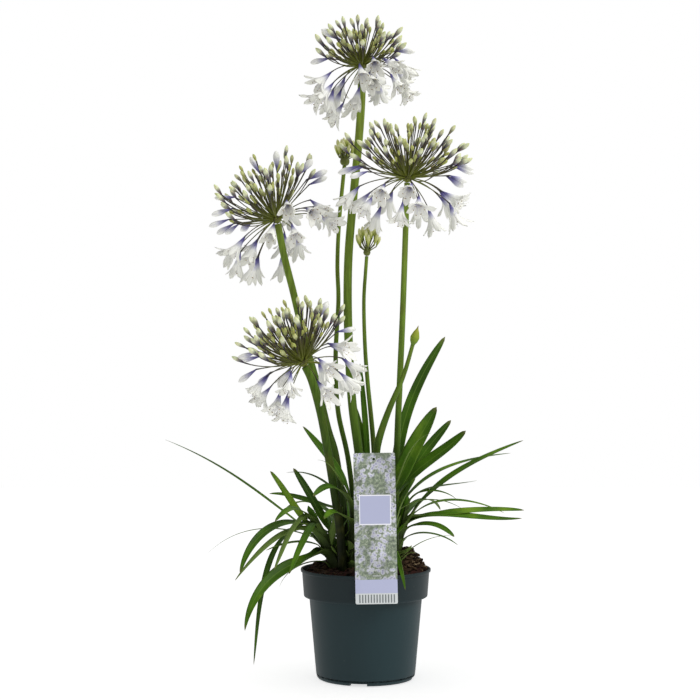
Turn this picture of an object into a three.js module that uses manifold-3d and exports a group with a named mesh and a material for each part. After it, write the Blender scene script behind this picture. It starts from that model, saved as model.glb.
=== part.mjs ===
// An agapanthus in its nursery pot: strap leaves in seven fans, seven flower stalks, four open
// umbels, two opening bud heads and one closed bud, with a plant label hooked over the rim.
// Millimetres, +Z up. The origin is the middle of the pot's underside, and the label faces -Y.

import * as THREE from "three";
import { mergeVertices } from "three/addons/utils/BufferGeometryUtils.js";
import Module from "manifold-3d";

const wasm = await Module();
wasm.setup();

const vec = (x, y, z) => new THREE.Vector3(x, y, z);
const rad = THREE.MathUtils.degToRad;
const mix = THREE.MathUtils.lerp;
const smooth = THREE.MathUtils.smoothstep;
const UP = vec(0, 0, 1);
const GAP = 0.3; // clearance between pieces that touch

// ---- Driving dimensions -------------------------------------------------------------------

const POT = {
  height: 143, // ground to rim
  rim: 85, // outer radius of the rolled lip
  lip: 4, // height of the lip
  bandTop: 83.2, // outer radius of the collar under the lip
  bandFoot: 80.8, // outer radius at the collar's lower edge
  shoulder: 107, // height of the collar's lower edge
  neck: 73.8, // outer radius under the collar
  foot: 64.6, // outer radius above the rounded foot
  wall: 1.6,
  stepTop: 2.4, // height of the inner step's two edges above the shoulder
  stepFoot: 0.8,
  corner: 5, // radius of the foot's edge
  floor: 3, // height of the raised floor's underside
  ring: 5, // width of the foot ring
  pad: 12, // radius of the flat pad under the middle
  bevel: 1, // slope of the ring, the pad and the lip
  sides: 32,
};
const NOTCH = { count: 4, width: 24, height: 3.4, at: -99.6 }; // drain notches in the foot ring
const HOLE = { count: 4, radius: 4, circle: 42 }; // drain holes in the floor

const SOIL = {
  level: 143, // height from which stems are measured
  edge: 138.5, // height where it meets the pot
  crown: 6, // how far the middle stands above the edge
  heaps: [[57, 7, 27, 19], [-48, 28, 9, 26]], // bark: place, height and reach
  ripple: 1.1, // height of the crumbs
  skirt: 4, // height of its outer edge
  socket: 34, // depth at which stems end
  sides: 24,
  rings: 4,
};

const LABEL = {
  width: 53,
  height: 190,
  thick: 0.8,
  x: 13.1, // middle of the label
  foot: 109.5, // height of its lower edge
  lean: 9, // degrees back from upright
  sway: -0.9, // degrees turned in its own plane
  punch: { x: -0.7, down: 8, radius: 1.8 }, // punched hole, from the middle of the top edge
  hook: { width: 10, drop: 26, reach: 9.6, bite: 1, room: 0.8 }, // tongue over the rim
};

// Flower stalks: the route runs through these points, from the soil up.
const STALKS = {
  top: {
    foot: 5.9, tip: 5.3,
    route: [[0, 14, 143], [-6.5, 17, 270], [-18, 20, 363], [-23.3, 23, 473], [-22.6, 25, 550],
      [-16.5, 27.5, 625], [-9, 29.5, 705], [-5.6, 31, 755], [-4.6, 32, 800]],
  },
  left: {
    foot: 4.8, tip: 4.6,
    route: [[-21, 4, 143], [-25.5, 8, 185], [-40, 17.5, 292], [-49.5, 21.5, 323],
      [-65.5, 26, 388], [-79, 26, 435], [-96, 20, 507], [-107.5, 15, 553], [-115.5, 11.5, 594]],
  },
  right: {
    foot: 4.2, tip: 3.7,
    route: [[38, -14, 143], [40.5, -16, 300], [44, -21, 387], [47.5, -26.5, 472],
      [50.6, -32.5, 566], [53, -37.5, 643]],
  },
  low: {
    foot: 5.6, tip: 5,
    route: [[-30, -22, 143], [-33.4, -29, 196], [-37.6, -36, 226], [-48.6, -49.5, 296],
      [-57.8, -59.5, 347], [-70, -68, 392], [-77, -71, 407]],
  },
  opening_left: {
    foot: 3.6, tip: 2.6,
    route: [[-8, 30, 143], [-23, 38, 283], [-36.5, 42.5, 347], [-39.7, 46.5, 418],
      [-36, 51, 496], [-37.4, 54, 541], [-35, 57, 600], [-28, 61.5, 675]],
  },
  opening_right: {
    foot: 3.8, tip: 2.3,
    route: [[17, 28, 143], [11, 26.5, 297], [2.8, 25.6, 386], [-0.5, 25.3, 430],
      [-2.1, 24.6, 495], [0, 24.3, 530], [1.6, 24, 552]],
  },
  closed: {
    foot: 5, tip: 2.5, slimFrom: 0.45,
    route: [[8, -20, 143], [13.5, -35, 297], [18, -38.5, 318], [29, -43, 350],
      [48.5, -48, 397], [60, -51, 436]],
  },
};
const STALK_SIDES = 6;

// Open umbels. Flowers spread round a pole that points down, `lean` degrees towards +X, as far
// as `open` degrees from it, and the buds fill the rest of the ball.
const UMBELS = {
  top: { budStalk: 53, flowerStalk: 46, lean: 10, open: 96, turn: 20, seed: 3 },
  left: { budStalk: 77, flowerStalk: 57, lean: 30, open: 102, turn: 75, seed: 11 },
  right: { budStalk: 68, flowerStalk: 56, lean: -6, open: 88, turn: 140, seed: 23 },
  low: { budStalk: 66, flowerStalk: 53, lean: 32, open: 102, turn: 215, seed: 37 },
};
const SPRAY = {
  buds: 42,
  budStep: 2, // every second bud is solid here
  flowers: 16,
  skip: 3, // every third flower is left out here
  below: 56, // degrees about the pole that stay free for the head's stalk
  golden: 137.508,
  stalk: 0.85, // radius of a floret's stalk
  core: 6.4, // radius of the swelling that the stalks grow from
  lift: 7, // how far a bud's stalk curves up
  droop: 7, // how far a flower's stalk hangs down
  rise: 0.45, // how much steeper a bud stands than its stalk starts
  nod: 0.75, // how much further a flower nods
  clear: 3, // least distance from a neighbouring stalk
  aside: 9, // degrees that a floret steps aside at a time
};
const BUD = { small: 10, large: 21, slim: 2.3, stout: 3.5, widest: 0.62, youngest: 0.25 };
const FLOWER = {
  tube: 13, // length of the tube
  base: 1.5, // radius at its foot
  throat: 4.2, // radius at its mouth
  cup: 0.6, // where the hollow starts, as a share of the tube
  petal: 24,
  width: 8.6,
  thick: 0.9,
  flare: 17, // how far the petals' tips stand out past the throat
  belly: 0.5, // where a petal is widest, as a share of its length
  bellyOut: 0.4, // its flare there, as a share of the whole
  fall: 0.78, // how far forward the tip comes, as a share of the petal's length
  uneven: 0.08,
};

// Opening bud heads: short upright buds out of one swelling.
const BUD_HEADS = {
  opening_left: { width: 15, height: 40, buds: 11, seed: 51 },
  opening_right: { width: 11, height: 44, buds: 9, seed: 63 },
};
const BUD_HEAD = {
  core: 0.42, // radius of the swelling, as a share of the head's width
  inner: 12, // degrees from the axis where the spiral starts
  spread: 48, // degrees that it runs over
  high: 0.48, // length of the middle stalks, as a share of the head's height
  low: 0.3, // length of the outer stalks
  bud: 0.36, // length of a bud
  stout: 2.7,
  upright: 1.6, // how strongly the buds turn up
};
const CLOSED_BUD = {
  length: 24,
  radius: 6,
  sides: 8,
  profile: [[-0.1, 0.36], [0.12, 0.8], [0.36, 1], [0.66, 0.6], [0.84, 0.2]], // along, radius
};

// Leaf fans: a sheathed neck, with its lean in millimetres along X and Y for each that it rises,
// and leaves given by compass direction in degrees (0 to +X, 90 to +Y), reach, tip height, height
// of the leaf's foot on the neck, slopes at foot and tip, width, turn of the blade about its own
// midrib, and how pointed it is, from 0 for a strap to 1 for a long point.
const FANS = {
  left: {
    x: -34, y: -6, top: 76, lean: [-0.5, 0],
    leaves: [
      [166, 241, 308, 35, 34, 20, 6, -20, 1], [222, 166, 151, 46, 38, -74, 13, -25, 0.3],
      [216, 161, 140, 37, 52, -50, 9, -30, 0.6], [189, 91, 271, 39, 41, 53, 10, -60, 0],
      [226, 117, 213, 58, 44, -36, 10, -20, 0.2], [233, 135, 155, 62, 30, -52, 11, 8, 0.4],
      [242, 130, 151, 44, 62, -46, 10, -10, 0.3], [213, 142, 75, 22, -6, -84, 17, -50, 0.7],
      [202, 118, 26, 60, -2, -83, 9, -40, 0.7], [193, 80, 121, 5, 26, -71, 4, -10, 1],
      [197, 99, 170, 24, 34, -21, 6, -20, 0.5],
    ],
  },
  back_left: {
    x: -28, y: 28, top: 94, lean: [0, 0],
    leaves: [
      [167, 189, 154, 16, 33, -44, 4, -10, 1], [188, 68, 272, 22, 55, 57, 12, -65, 0],
      [163, 106, 235, 74, 7, -3, 9, -40, 0.3], [156, 85, 263, 90, 42, -10, 5, -20, 1],
      [112, 130, 176, 34, 45, -62, 13, 0, 0.3], [136, 118, 205, 50, 44, -42, 11, 0, 0.3],
    ],
  },
  front_left: {
    x: -14, y: -14, top: 90, lean: [0, 0],
    leaves: [
      [200, 72, 330, 76, 80, 50, 14, -55, 0.3], [238, 89, 290, 84, 38, 2, 4, -10, 1],
      [241, 109, 246, 76, 54, -29, 11, -25, 0], [242, 84, 216, 62, 15, -36, 11, -20, 0],
    ],
  },
  back: {
    x: 4, y: 48, top: 68, lean: [0, 0],
    leaves: [
      [160, 12, 410, 58, 94, 84, 8, -70, 0], [166, 25, 366, 55, 88, 68, 10, -60, 0],
      [76, 124, 196, 38, 50, -55, 13, 0, 0.3], [104, 138, 150, 22, 42, -68, 12, 0, 0.3],
    ],
  },
  back_right: {
    x: 36, y: 26, top: 84, lean: [0, 0],
    leaves: [
      [30, 82, 446, 66, 92, 52, 14, 65, 0], [21, 84, 334, 60, 78, 47, 13, 60, 0],
      [350, 97, 322, 70, 88, 48, 17, 60, 0], [14, 165, 289, 60, 70, 5, 8, 20, 0.5],
      [58, 128, 206, 40, 48, -46, 12, 0, 0.3],
    ],
  },
  right: {
    x: 30, y: 2, top: 88, lean: [0.27, 0],
    leaves: [
      [358, 176, 310, 54, 57, 22, 11, 35, 0.4], [348, 116, 259, 72, 84, 13, 7, 15, 1],
      [345, 90, 235, 80, 84, -39, 7, 15, 0.6], [331, 165, 222, 46, 64, -23, 8, 20, 0.8],
      [357, 177, 219, 64, 9, -2, 13, 30, 0.2], [352, 174, 210, 33, 80, 7, 12, 30, 0.2],
      [333, 94, 188, 48, 30, -41, 9, 30, 0], [341, 94, 176, 27, 59, -35, 7, 10, 0.6],
    ],
  },
  front_right: {
    x: 28, y: -28, top: 96, lean: [0, 0],
    leaves: [
      [349, 64, 355, 73, 77, 60, 24, 72, 0.2], [337, 103, 226, 66, 52, -30, 5, 10, 1],
      [318, 106, 196, 4, 39, 2, 4, 10, 1], [310, 56, 171, 3, 10, -10, 5, 10, 1],
      [288, 66, 127, 24, 35, -75, 7, 40, 0.6], [310, 82, 324, 88, 58, 15, 4, 10, 1],
      [301, 63, 266, 31, 58, 44, 20, 65, 0],
    ],
  },
};
const LEAF = {
  start: 3, // how far from the neck's middle the midrib starts
  steps: 6,
  thick: 1.7, // at the foot
  thin: 1.1, // at the tip
  channel: 0.13, // depth of the channel, as a share of the width
  handle: 0.38, // length of the curve's handles, as a share of the chord
  turned: 0.45, // where along the blade its turn is complete
  narrow: 0.6, // width at the foot, as a share of the widest
  wide: 0.4, // where it reaches its full width
  strap: { taper: 0.55, blunt: 2.2, power: 0.5 }, // where it starts to narrow, and how bluntly
  pointed: { taper: 0.2, blunt: 1.2, power: 0.8 },
};
const NECK = { foot: 8, top: 4.6, sides: 8, cap: 6 };

const MATERIALS = {
  pot: ["#31393b", 0.55, 0],
  soil: ["#3a241c", 0.95, 0],
  label: ["#d9dae6", 0.4, 0],
  stalk: ["#5d7f36", 0.5, 0],
  leaf: ["#3f6b29", 0.45, 0],
  floret: ["#e6e6ee", 0.6, 0],
  bud: ["#9fae5c", 0.55, 0],
};

// ---- Solids ---------------------------------------------------------------------------------

// Turns closed three.js geometry into a solid that can be joined and cut.
function toSolid(geometry) {
  const bare = geometry.clone();
  bare.deleteAttribute("normal");
  bare.deleteAttribute("uv");
  const welded = mergeVertices(bare, 1e-4);
  const vertProperties = new Float32Array(welded.attributes.position.array);
  const triVerts = new Uint32Array(welded.index.array);
  return new wasm.Manifold(new wasm.Mesh({ numProp: 3, vertProperties, triVerts }));
}

function toGeometry(solid) {
  const mesh = solid.getMesh();
  const geometry = new THREE.BufferGeometry();
  geometry.setAttribute("position", new THREE.BufferAttribute(mesh.vertProperties, 3));
  geometry.setIndex(new THREE.BufferAttribute(mesh.triVerts, 1));
  geometry.computeVertexNormals();
  return geometry;
}

// Geometry over points, with three numbers to a face.
function skin(points, faces) {
  const geometry = new THREE.BufferGeometry();
  const flat = points.flatMap((p) => [p.x, p.y, p.z]);
  geometry.setAttribute("position", new THREE.Float32BufferAttribute(flat, 3));
  geometry.setIndex(faces);
  return geometry;
}

// Faces between two rings, counter-clockwise seen from the second. One ring may have a multiple
// of the other's points, or a single one. A flat section's second half is split the other way,
// so that its two sides stay parallel where it twists.
function bridge(low, high, flat) {
  const sides = Math.max(low.count, high.count);
  const on = (ring, i) => ring.first + (Math.floor((i * ring.count) / sides) % ring.count);
  const faces = [];
  for (let i = 0; i < sides; i += 1) {
    const [a, b, c, d] = [on(low, i), on(low, i + 1), on(high, i), on(high, i + 1)];
    const across = flat && i >= sides / 2;
    if (a !== b) faces.push(a, b, across ? c : d);
    if (c !== d) faces.push(across ? b : a, d, c);
  }
  return faces;
}

// A closed skin over rings of points, each counter-clockwise seen from the last ring.
function loft(rings, { open = false, flat = false } = {}) {
  const faces = [];
  const spans = [];
  for (const points of rings) {
    const before = spans.at(-1) ?? { first: 0, count: 0 };
    spans.push({ first: before.first + before.count, count: points.length });
  }
  for (let k = 0; k + 1 < spans.length; k += 1) {
    faces.push(...bridge(spans[k], spans[k + 1], flat));
  }
  for (let i = 1; i + 1 < spans[0].count; i += 1) faces.push(0, i + 1, i);
  const { first, count } = spans.at(-1);
  for (let i = 1; i + 1 < count && !open; i += 1) faces.push(first, first + i, first + i + 1);
  return { points: rings.flat(), faces };
}

function loftSolid(rings, shape) {
  const { points, faces } = loft(rings, shape);
  return toSolid(skin(points, faces));
}

// A round ring across a direction, with its first point on the side given.
function ring(centre, direction, radius, sides, side) {
  const v = direction.clone().cross(side).normalize();
  const u = v.clone().cross(direction).normalize();
  return Array.from({ length: sides }, (_, i) => {
    const angle = (2 * Math.PI * i) / sides;
    return centre.clone()
      .addScaledVector(u, radius * Math.cos(angle))
      .addScaledVector(v, radius * Math.sin(angle));
  });
}

// The same draw for the same number and seed, between 0 and 1.
function draw(number, seed) {
  const value = Math.sin(number * 12.9898 + seed * 78.233) * 43758.5453;
  return value - Math.floor(value);
}

const jitter = (number, seed, amount) => (2 * draw(number, seed) - 1) * amount;

// ---- Pot, soil and label ----------------------------------------------------------------------

function lathe(profile, sides) {
  const points = profile.map(([r, z]) => new THREE.Vector2(r, z));
  return toSolid(new THREE.LatheGeometry(points, sides).rotateX(Math.PI / 2));
}

function box(width, depth, height) {
  return toSolid(new THREE.BoxGeometry(width, depth, height));
}

// Inner radius of the pot at a height.
function potInside(z) {
  if (z >= POT.shoulder) {
    const rise = (z - POT.shoulder) / (POT.height - POT.shoulder);
    return mix(POT.bandFoot, POT.bandTop, rise) - POT.wall;
  }
  return mix(POT.foot, POT.neck, z / POT.shoulder) - POT.wall;
}

function makePot() {
  const { height, rim, bandTop, bandFoot, shoulder, neck, foot, wall, corner, floor, bevel } = POT;
  const lipFoot = height - POT.lip;
  const profile = [
    [0, 0], [POT.pad, 0], [POT.pad + 2 * bevel, floor], [foot - corner - POT.ring, floor],
    [foot - corner - POT.ring + bevel, 0], [foot - corner, 0], [foot - corner / 5, corner / 3],
    [foot, corner], [neck, shoulder - bevel / 2], [bandFoot, shoulder], [bandTop, lipFoot],
    [rim, lipFoot + bevel], [rim, height], [potInside(height), height],
    [bandFoot - wall, shoulder + POT.stepTop], [neck - wall, shoulder + POT.stepFoot],
    [potInside(floor + wall), floor + wall], [0, floor + wall],
  ];
  let pot = lathe(profile, POT.sides);
  for (let i = 0; i < NOTCH.count; i += 1) {
    const notch = box(foot, NOTCH.width, 2 * NOTCH.height)
      .translate([foot - POT.ring, 0, 0])
      .rotate([0, 0, NOTCH.at + (360 / NOTCH.count) * i]);
    pot = pot.subtract(notch);
  }
  for (let i = 0; i < HOLE.count; i += 1) {
    const angle = ((i + 0.5) * 2 * Math.PI) / HOLE.count;
    const drill = new THREE.CylinderGeometry(HOLE.radius, HOLE.radius, 20, 8).rotateX(Math.PI / 2);
    const [x, y] = [HOLE.circle * Math.cos(angle), HOLE.circle * Math.sin(angle)];
    pot = pot.subtract(toSolid(drill.translate(x, y, 0)));
  }
  return pot;
}

// Height of the soil's surface.
function soilTop(x, y) {
  const r = Math.hypot(x, y) / potInside(SOIL.edge);
  const heaped = SOIL.heaps.map(([cx, cy, height, reach]) => (
    height * Math.exp(-(((x - cx) ** 2 + (y - cy) ** 2) / reach ** 2))));
  const heap = (heaped[0] + heaped[1]) * (1 - r ** 8);
  const crumbs = SOIL.ripple * Math.sin(x * 0.31 + 1) * Math.cos(y * 0.27 - x * 0.11);
  return SOIL.edge + SOIL.crown * (1 - r * r) + heap + crumbs;
}

function makeSoil(stems) {
  const ringAt = (radius, height) => Array.from({ length: SOIL.sides }, (_, i) => {
    const angle = (2 * Math.PI * i) / SOIL.sides;
    const [x, y] = [radius * Math.cos(angle), radius * Math.sin(angle)];
    return vec(x, y, height ?? soilTop(x, y));
  });
  const under = POT.floor + POT.wall + GAP;
  const rings = [
    ringAt(potInside(under) - 2 * GAP, under),
    ringAt(POT.neck - POT.wall - 2 * GAP, POT.shoulder + POT.stepFoot + GAP),
    ringAt(POT.bandFoot - POT.wall - 2 * GAP, POT.shoulder + POT.stepTop + 2 * GAP),
    ringAt(potInside(SOIL.edge - SOIL.skirt) - 2 * GAP),
  ];
  for (let k = SOIL.rings - 1; k > 0; k -= 1) {
    rings.push(ringAt((potInside(SOIL.edge) * k) / SOIL.rings));
  }
  rings.push([vec(0, 0, soilTop(0, 0))]);
  return wasm.Manifold.difference([loftSolid(rings), ...stems]);
}

const RIM_FRONT = -POT.rim - GAP;
const TONGUE_Y = RIM_FRONT + LABEL.hook.reach - LABEL.hook.bite - LABEL.thick / 2;

function makeLabel() {
  const { width, height, thick, punch, hook } = LABEL;
  const outline = new THREE.Shape();
  outline.moveTo(-width / 2, 0);
  outline.lineTo(width / 2, 0);
  outline.lineTo(width / 2, height);
  outline.lineTo(-width / 2, height);
  const hole = new THREE.Path();
  hole.absarc(punch.x, height - punch.down, punch.radius, 0, 2 * Math.PI);
  outline.holes.push(hole);
  const plate = new THREE.ExtrudeGeometry(outline, {
    depth: thick, bevelEnabled: false, curveSegments: 5,
  });
  const atRim = POT.height - LABEL.foot;
  plate.rotateX(Math.PI / 2).rotateY(rad(LABEL.sway)).rotateX(-rad(LABEL.lean));
  plate.translate(LABEL.x, RIM_FRONT - Math.tan(rad(LABEL.lean)) * atRim, LABEL.foot);
  const over = POT.height + GAP;
  const strap = box(hook.width, hook.reach, thick)
    .translate([LABEL.x, RIM_FRONT + hook.reach / 2 - hook.bite, over + thick / 2]);
  const tongue = box(hook.width, thick, hook.drop)
    .translate([LABEL.x, TONGUE_Y, over + thick - hook.drop / 2]);
  return wasm.Manifold.union([toSolid(plate), strap, tongue]);
}

// The room that the label's tongue needs between soil and wall.
function makeLabelSlot() {
  const { width, drop, room } = LABEL.hook;
  return box(width + 2 * room, LABEL.thick + 2 * room, 2 * drop)
    .translate([LABEL.x, TONGUE_Y, POT.height]);
}

// ---- Flower stalks ------------------------------------------------------------------------------

function stalkCurve(stalk) {
  return new THREE.CatmullRomCurve3(stalk.route.map((p) => vec(...p)), false, "centripetal");
}

// A tapered stem that goes on straight down into its hole in the soil.
function makeStalk(stalk, grow = 0, steps = 8) {
  const curve = stalkCurve(stalk);
  const foot = curve.getPoint(0).setZ(SOIL.level - SOIL.socket - grow);
  const back = vec(0, 1, 0);
  const rings = [ring(foot, UP, stalk.foot + grow, STALK_SIDES, back)];
  for (let k = 0; k <= steps; k += 1) {
    const t = k / steps;
    const radius = mix(stalk.foot, stalk.tip, smooth(t, stalk.slimFrom ?? 0, 1)) + grow;
    const direction = k === 0 ? UP : curve.getTangentAt(t);
    rings.push(ring(curve.getPointAt(t), direction, radius, STALK_SIDES, back));
  }
  return loftSolid(rings);
}

// ---- Heads of florets -----------------------------------------------------------------------------

// Where a head sits: just past the tip of its stalk, along the stalk's own direction.
function seatOf(stalk, core) {
  const curve = stalkCurve(stalk);
  const axis = curve.getTangentAt(1);
  return { axis, hub: curve.getPointAt(1).addScaledVector(axis, core + GAP) };
}

// Stalks that a head has to keep clear of, as points along them.
function neighboursOf(name) {
  return Object.entries(STALKS).filter(([other]) => other !== name)
    .flatMap(([, stalk]) => stalkCurve(stalk).getSpacedPoints(60)
      .map((point) => ({ point, radius: stalk.foot })));
}

// A floret in a direction that is given by its angle from a pole and its turn about it.
function floretAt(seat, pole, angle, turn, open, length) {
  const right = vec(0, 1, 0).cross(pole).normalize();
  const front = pole.clone().cross(right);
  const out = right.multiplyScalar(Math.cos(turn)).addScaledVector(front, Math.sin(turn));
  const towards = pole.clone().multiplyScalar(Math.cos(angle)).addScaledVector(out, Math.sin(angle));
  const level = Math.hypot(towards.x, towards.y);
  const sag = open ? -SPRAY.droop : SPRAY.lift * level;
  const end = seat.hub.clone().addScaledVector(towards, length).addScaledVector(UP, sag);
  const turnUp = open ? -SPRAY.nod : SPRAY.rise * level;
  const heading = towards.clone().addScaledVector(UP, turnUp).normalize();
  const side = level > 0.1 ? towards.clone().cross(UP).normalize() : vec(1, 0, 0);
  return { end, heading, towards, open, side };
}

// Whether a floret, from its stalk to its tip, stays away from every neighbour.
function isClear(floret, seat, neighbours) {
  const half = floret.open ? FLOWER.flare + 3 : BUD.stout;
  const reach = floret.open ? FLOWER.tube + FLOWER.petal * 0.6 : BUD.large / 2;
  const middle = floret.end.clone().addScaledVector(floret.heading, reach);
  const path = new THREE.Line3(seat.hub, floret.end);
  const nearest = vec(0, 0, 0);
  return neighbours.every(({ point, radius }) => {
    path.closestPointToPoint(point, true, nearest);
    const margin = radius + SPRAY.clear;
    return nearest.distanceTo(point) > margin && middle.distanceTo(point) > margin + half;
  });
}

// Florets on an even spiral between two angles from a pole, each turned aside where a
// neighbouring stalk passes.
function spiral(name, pole, from, to, count, open) {
  const head = UMBELS[name];
  const seat = seatOf(STALKS[name], SPRAY.core);
  const neighbours = neighboursOf(name);
  const [top, bottom] = [Math.cos(rad(from)), Math.cos(rad(to))];
  return Array.from({ length: count }, (_, number) => {
    const share = (number + 0.5) / count;
    const key = number + (open ? 100 : 0);
    const angle = Math.acos(mix(top, bottom, share)) + rad(jitter(key, head.seed, 4));
    const turn = rad(number * SPRAY.golden + head.turn + jitter(key, head.seed + 1, 6));
    const stalk = open ? head.flowerStalk : head.budStalk;
    const length = stalk * (1 + jitter(key, head.seed + 2, 0.1));
    let floret = floretAt(seat, pole, angle, turn, open, length);
    for (let shift = 1; shift < 12 && !isClear(floret, seat, neighbours); shift += 1) {
      const aside = (shift % 2 ? 1 : -1) * Math.ceil(shift / 2) * rad(SPRAY.aside);
      floret = floretAt(seat, pole, angle, turn + aside, open, length);
    }
    return { ...floret, number, share };
  });
}

function budsOf(name) {
  const { lean, open } = UMBELS[name];
  const pole = vec(-Math.sin(rad(lean)), 0, Math.cos(rad(lean)));
  return spiral(name, pole, 0, 176 - open, SPRAY.buds, false);
}

function flowersOf(name) {
  const { lean, open } = UMBELS[name];
  const pole = vec(Math.sin(rad(lean)), 0, -Math.cos(rad(lean)));
  return spiral(name, pole, SPRAY.below, open, SPRAY.flowers, true);
}

// Rings of the stalk under a floret, which leaves the core straight and bends to the floret.
function floretStalk(seat, floret, sides, steps) {
  const { hub } = seat;
  const bend = hub.clone().addScaledVector(floret.towards, floret.end.distanceTo(hub) * 0.6);
  const curve = new THREE.QuadraticBezierCurve3(hub, bend, floret.end);
  return Array.from({ length: steps + 1 }, (_, k) => {
    const heading = k === steps ? floret.heading : curve.getTangent(k / steps);
    return ring(curve.getPoint(k / steps), heading, SPRAY.stalk, sides, floret.side);
  });
}

// A closed bud on its stalk, widest past its middle.
function makeBud(seat, floret, length, radius) {
  const { end, heading, side } = floret;
  const at = (share) => end.clone().addScaledVector(heading, length * share);
  return loftSolid([
    ...floretStalk(seat, floret, 4, 1),
    ring(at(BUD.widest), heading, radius, 4, side),
    [at(1)],
  ]);
}

// An open flower on its stalk, in one skin: a tube that widens to the throat, a cup inside it,
// and six petals that spread from the throat and curl back.
function makeFlower(seat, floret) {
  const { tube, throat, petal, width, thick, flare } = FLOWER;
  const { end, heading, number, side } = floret;
  const frame = ring(vec(0, 0, 0), heading, 1, 12, side);
  const spoke = (twelfth) => frame[(twelfth + 12) % 12].clone();
  const at = (along, twelfth, radius) => end.clone().addScaledVector(heading, along)
    .addScaledVector(spoke(twelfth), radius);
  const { points, faces } = loft([
    ...floretStalk(seat, floret, 3, 2),
    ring(at(FLOWER.base, 0, 0), heading, FLOWER.base, 6, side),
    ring(at(tube, 0, 0), heading, throat, 6, side),
  ], { open: true });
  const outside = points.length - 6;
  const inside = points.push(...ring(at(tube, 0, 0), heading, throat - thick, 6, side)) - 6;
  const cup = points.push(at(tube * FLOWER.cup, 0, 0)) - 1;
  for (let i = 0; i < 6; i += 1) {
    const j = (i + 1) % 6;
    const middle = 2 * i + 1;
    const long = petal * (1 + jitter(i, number, FLOWER.uneven));
    const belly = at(tube + long * FLOWER.belly, middle, throat + flare * FLOWER.bellyOut);
    const across = spoke(middle + 3).multiplyScalar(width / 2);
    const inward = spoke(middle).multiplyScalar(-0.8).addScaledVector(heading, 0.6);
    const left = points.push(
      belly.clone().sub(across),
      belly.clone().add(across),
      belly.clone().addScaledVector(inward, thick * 0.1),
      belly.clone().addScaledVector(inward, -thick * 0.9),
      at(tube + long * FLOWER.fall, middle, throat + flare),
    ) - 5;
    const [right, inner, outer, tip] = [left + 1, left + 2, left + 3, left + 4];
    const [outA, outB, inA, inB] = [outside + i, outside + j, inside + i, inside + j];
    faces.push(outA, outB, outer, outA, outer, left, outB, right, outer);
    faces.push(inA, inner, inB, inA, left, inner, inB, inner, right);
    faces.push(outA, left, inA, outB, inB, right, inA, inB, cup);
    faces.push(left, outer, tip, outer, right, tip, right, inner, tip, inner, left, tip);
  }
  return toSolid(skin(points, faces));
}

function makeCore(seat, radius) {
  const core = new THREE.SphereGeometry(radius, 8, 6).rotateX(Math.PI / 2);
  core.translate(seat.hub.x, seat.hub.y, seat.hub.z);
  return toSolid(core);
}

function makeUmbel(name) {
  const seat = seatOf(STALKS[name], SPRAY.core);
  const buds = budsOf(name).filter(({ number }) => number % SPRAY.budStep === 0);
  const flowers = flowersOf(name).filter(({ number }) => number % SPRAY.skip !== SPRAY.skip - 1);
  return wasm.Manifold.union([
    makeCore(seat, SPRAY.core),
    ...flowers.map((flower) => makeFlower(seat, flower)),
    ...buds.map((bud) => {
      const age = mix(BUD.youngest, 1, bud.share) + jitter(bud.number, 5, 0.2);
      return makeBud(seat, bud, mix(BUD.small, BUD.large, age), mix(BUD.slim, BUD.stout, age));
    }),
  ]);
}

// A head that is just opening: buds stand close together, upright, at stepped heights.
function makeBudHead(name) {
  const head = BUD_HEADS[name];
  const core = head.width * BUD_HEAD.core;
  const seat = seatOf(STALKS[name], core);
  const pieces = [makeCore(seat, core)];
  for (let i = 0; i < head.buds; i += 1) {
    const share = (i + 0.5) / head.buds;
    const polar = rad(BUD_HEAD.inner + BUD_HEAD.spread * share);
    const turn = rad(i * SPRAY.golden + jitter(i, head.seed, 10));
    const out = vec(Math.cos(turn), Math.sin(turn), 0);
    const lean = seat.axis.clone().multiplyScalar(Math.cos(polar)).addScaledVector(out, Math.sin(polar));
    const reach = head.height * mix(BUD_HEAD.high, BUD_HEAD.low, share);
    const end = seat.hub.clone().addScaledVector(lean, reach);
    const heading = lean.clone().addScaledVector(UP, BUD_HEAD.upright).normalize();
    const side = lean.clone().cross(UP).normalize();
    const floret = { end, heading, towards: lean, side };
    pieces.push(makeBud(seat, floret, head.height * BUD_HEAD.bud, BUD_HEAD.stout));
  }
  return wasm.Manifold.union(pieces);
}

// The last stalk ends in a pointed, still closed sheath.
function makeClosedStalk() {
  const stalk = makeStalk(STALKS.closed);
  const curve = stalkCurve(STALKS.closed);
  const axis = curve.getTangentAt(1);
  const { length, radius, sides, profile } = CLOSED_BUD;
  const at = (share) => curve.getPointAt(1).addScaledVector(axis, length * share);
  const bud = loftSolid([
    ...profile.map(([along, wide]) => ring(at(along), axis, radius * wide, sides, vec(0, 1, 0))),
    [at(1)],
  ]);
  return stalk.add(bud);
}

// ---- Leaves ---------------------------------------------------------------------------------------

// The middle of a fan's neck at a height above the soil, where it leans, or below it, where it doesn't.
function neckAt(fan, height) {
  const [leanX, leanY] = fan.lean;
  const risen = Math.max(0, height);
  return vec(fan.x + leanX * risen, fan.y + leanY * risen, SOIL.level + height);
}

// A blade's midrib, from the neck to a tip in its compass direction.
function midrib(fan, [compass, reach, tip, foot, footSlope, tipSlope]) {
  const away = vec(Math.cos(rad(compass)), Math.sin(rad(compass)), 0);
  const start = neckAt(fan, foot).addScaledVector(away, LEAF.start);
  const end = vec(fan.x, fan.y, tip).addScaledVector(away, reach);
  const handle = LEAF.handle * start.distanceTo(end);
  const along = (slope) => away.clone().multiplyScalar(Math.cos(rad(slope)))
    .addScaledVector(UP, Math.sin(rad(slope)));
  const first = start.clone().addScaledVector(along(footSlope), handle);
  const second = end.clone().addScaledVector(along(tipSlope), -handle);
  return { away, curve: new THREE.CubicBezierCurve3(start, first, second, end) };
}

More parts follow.
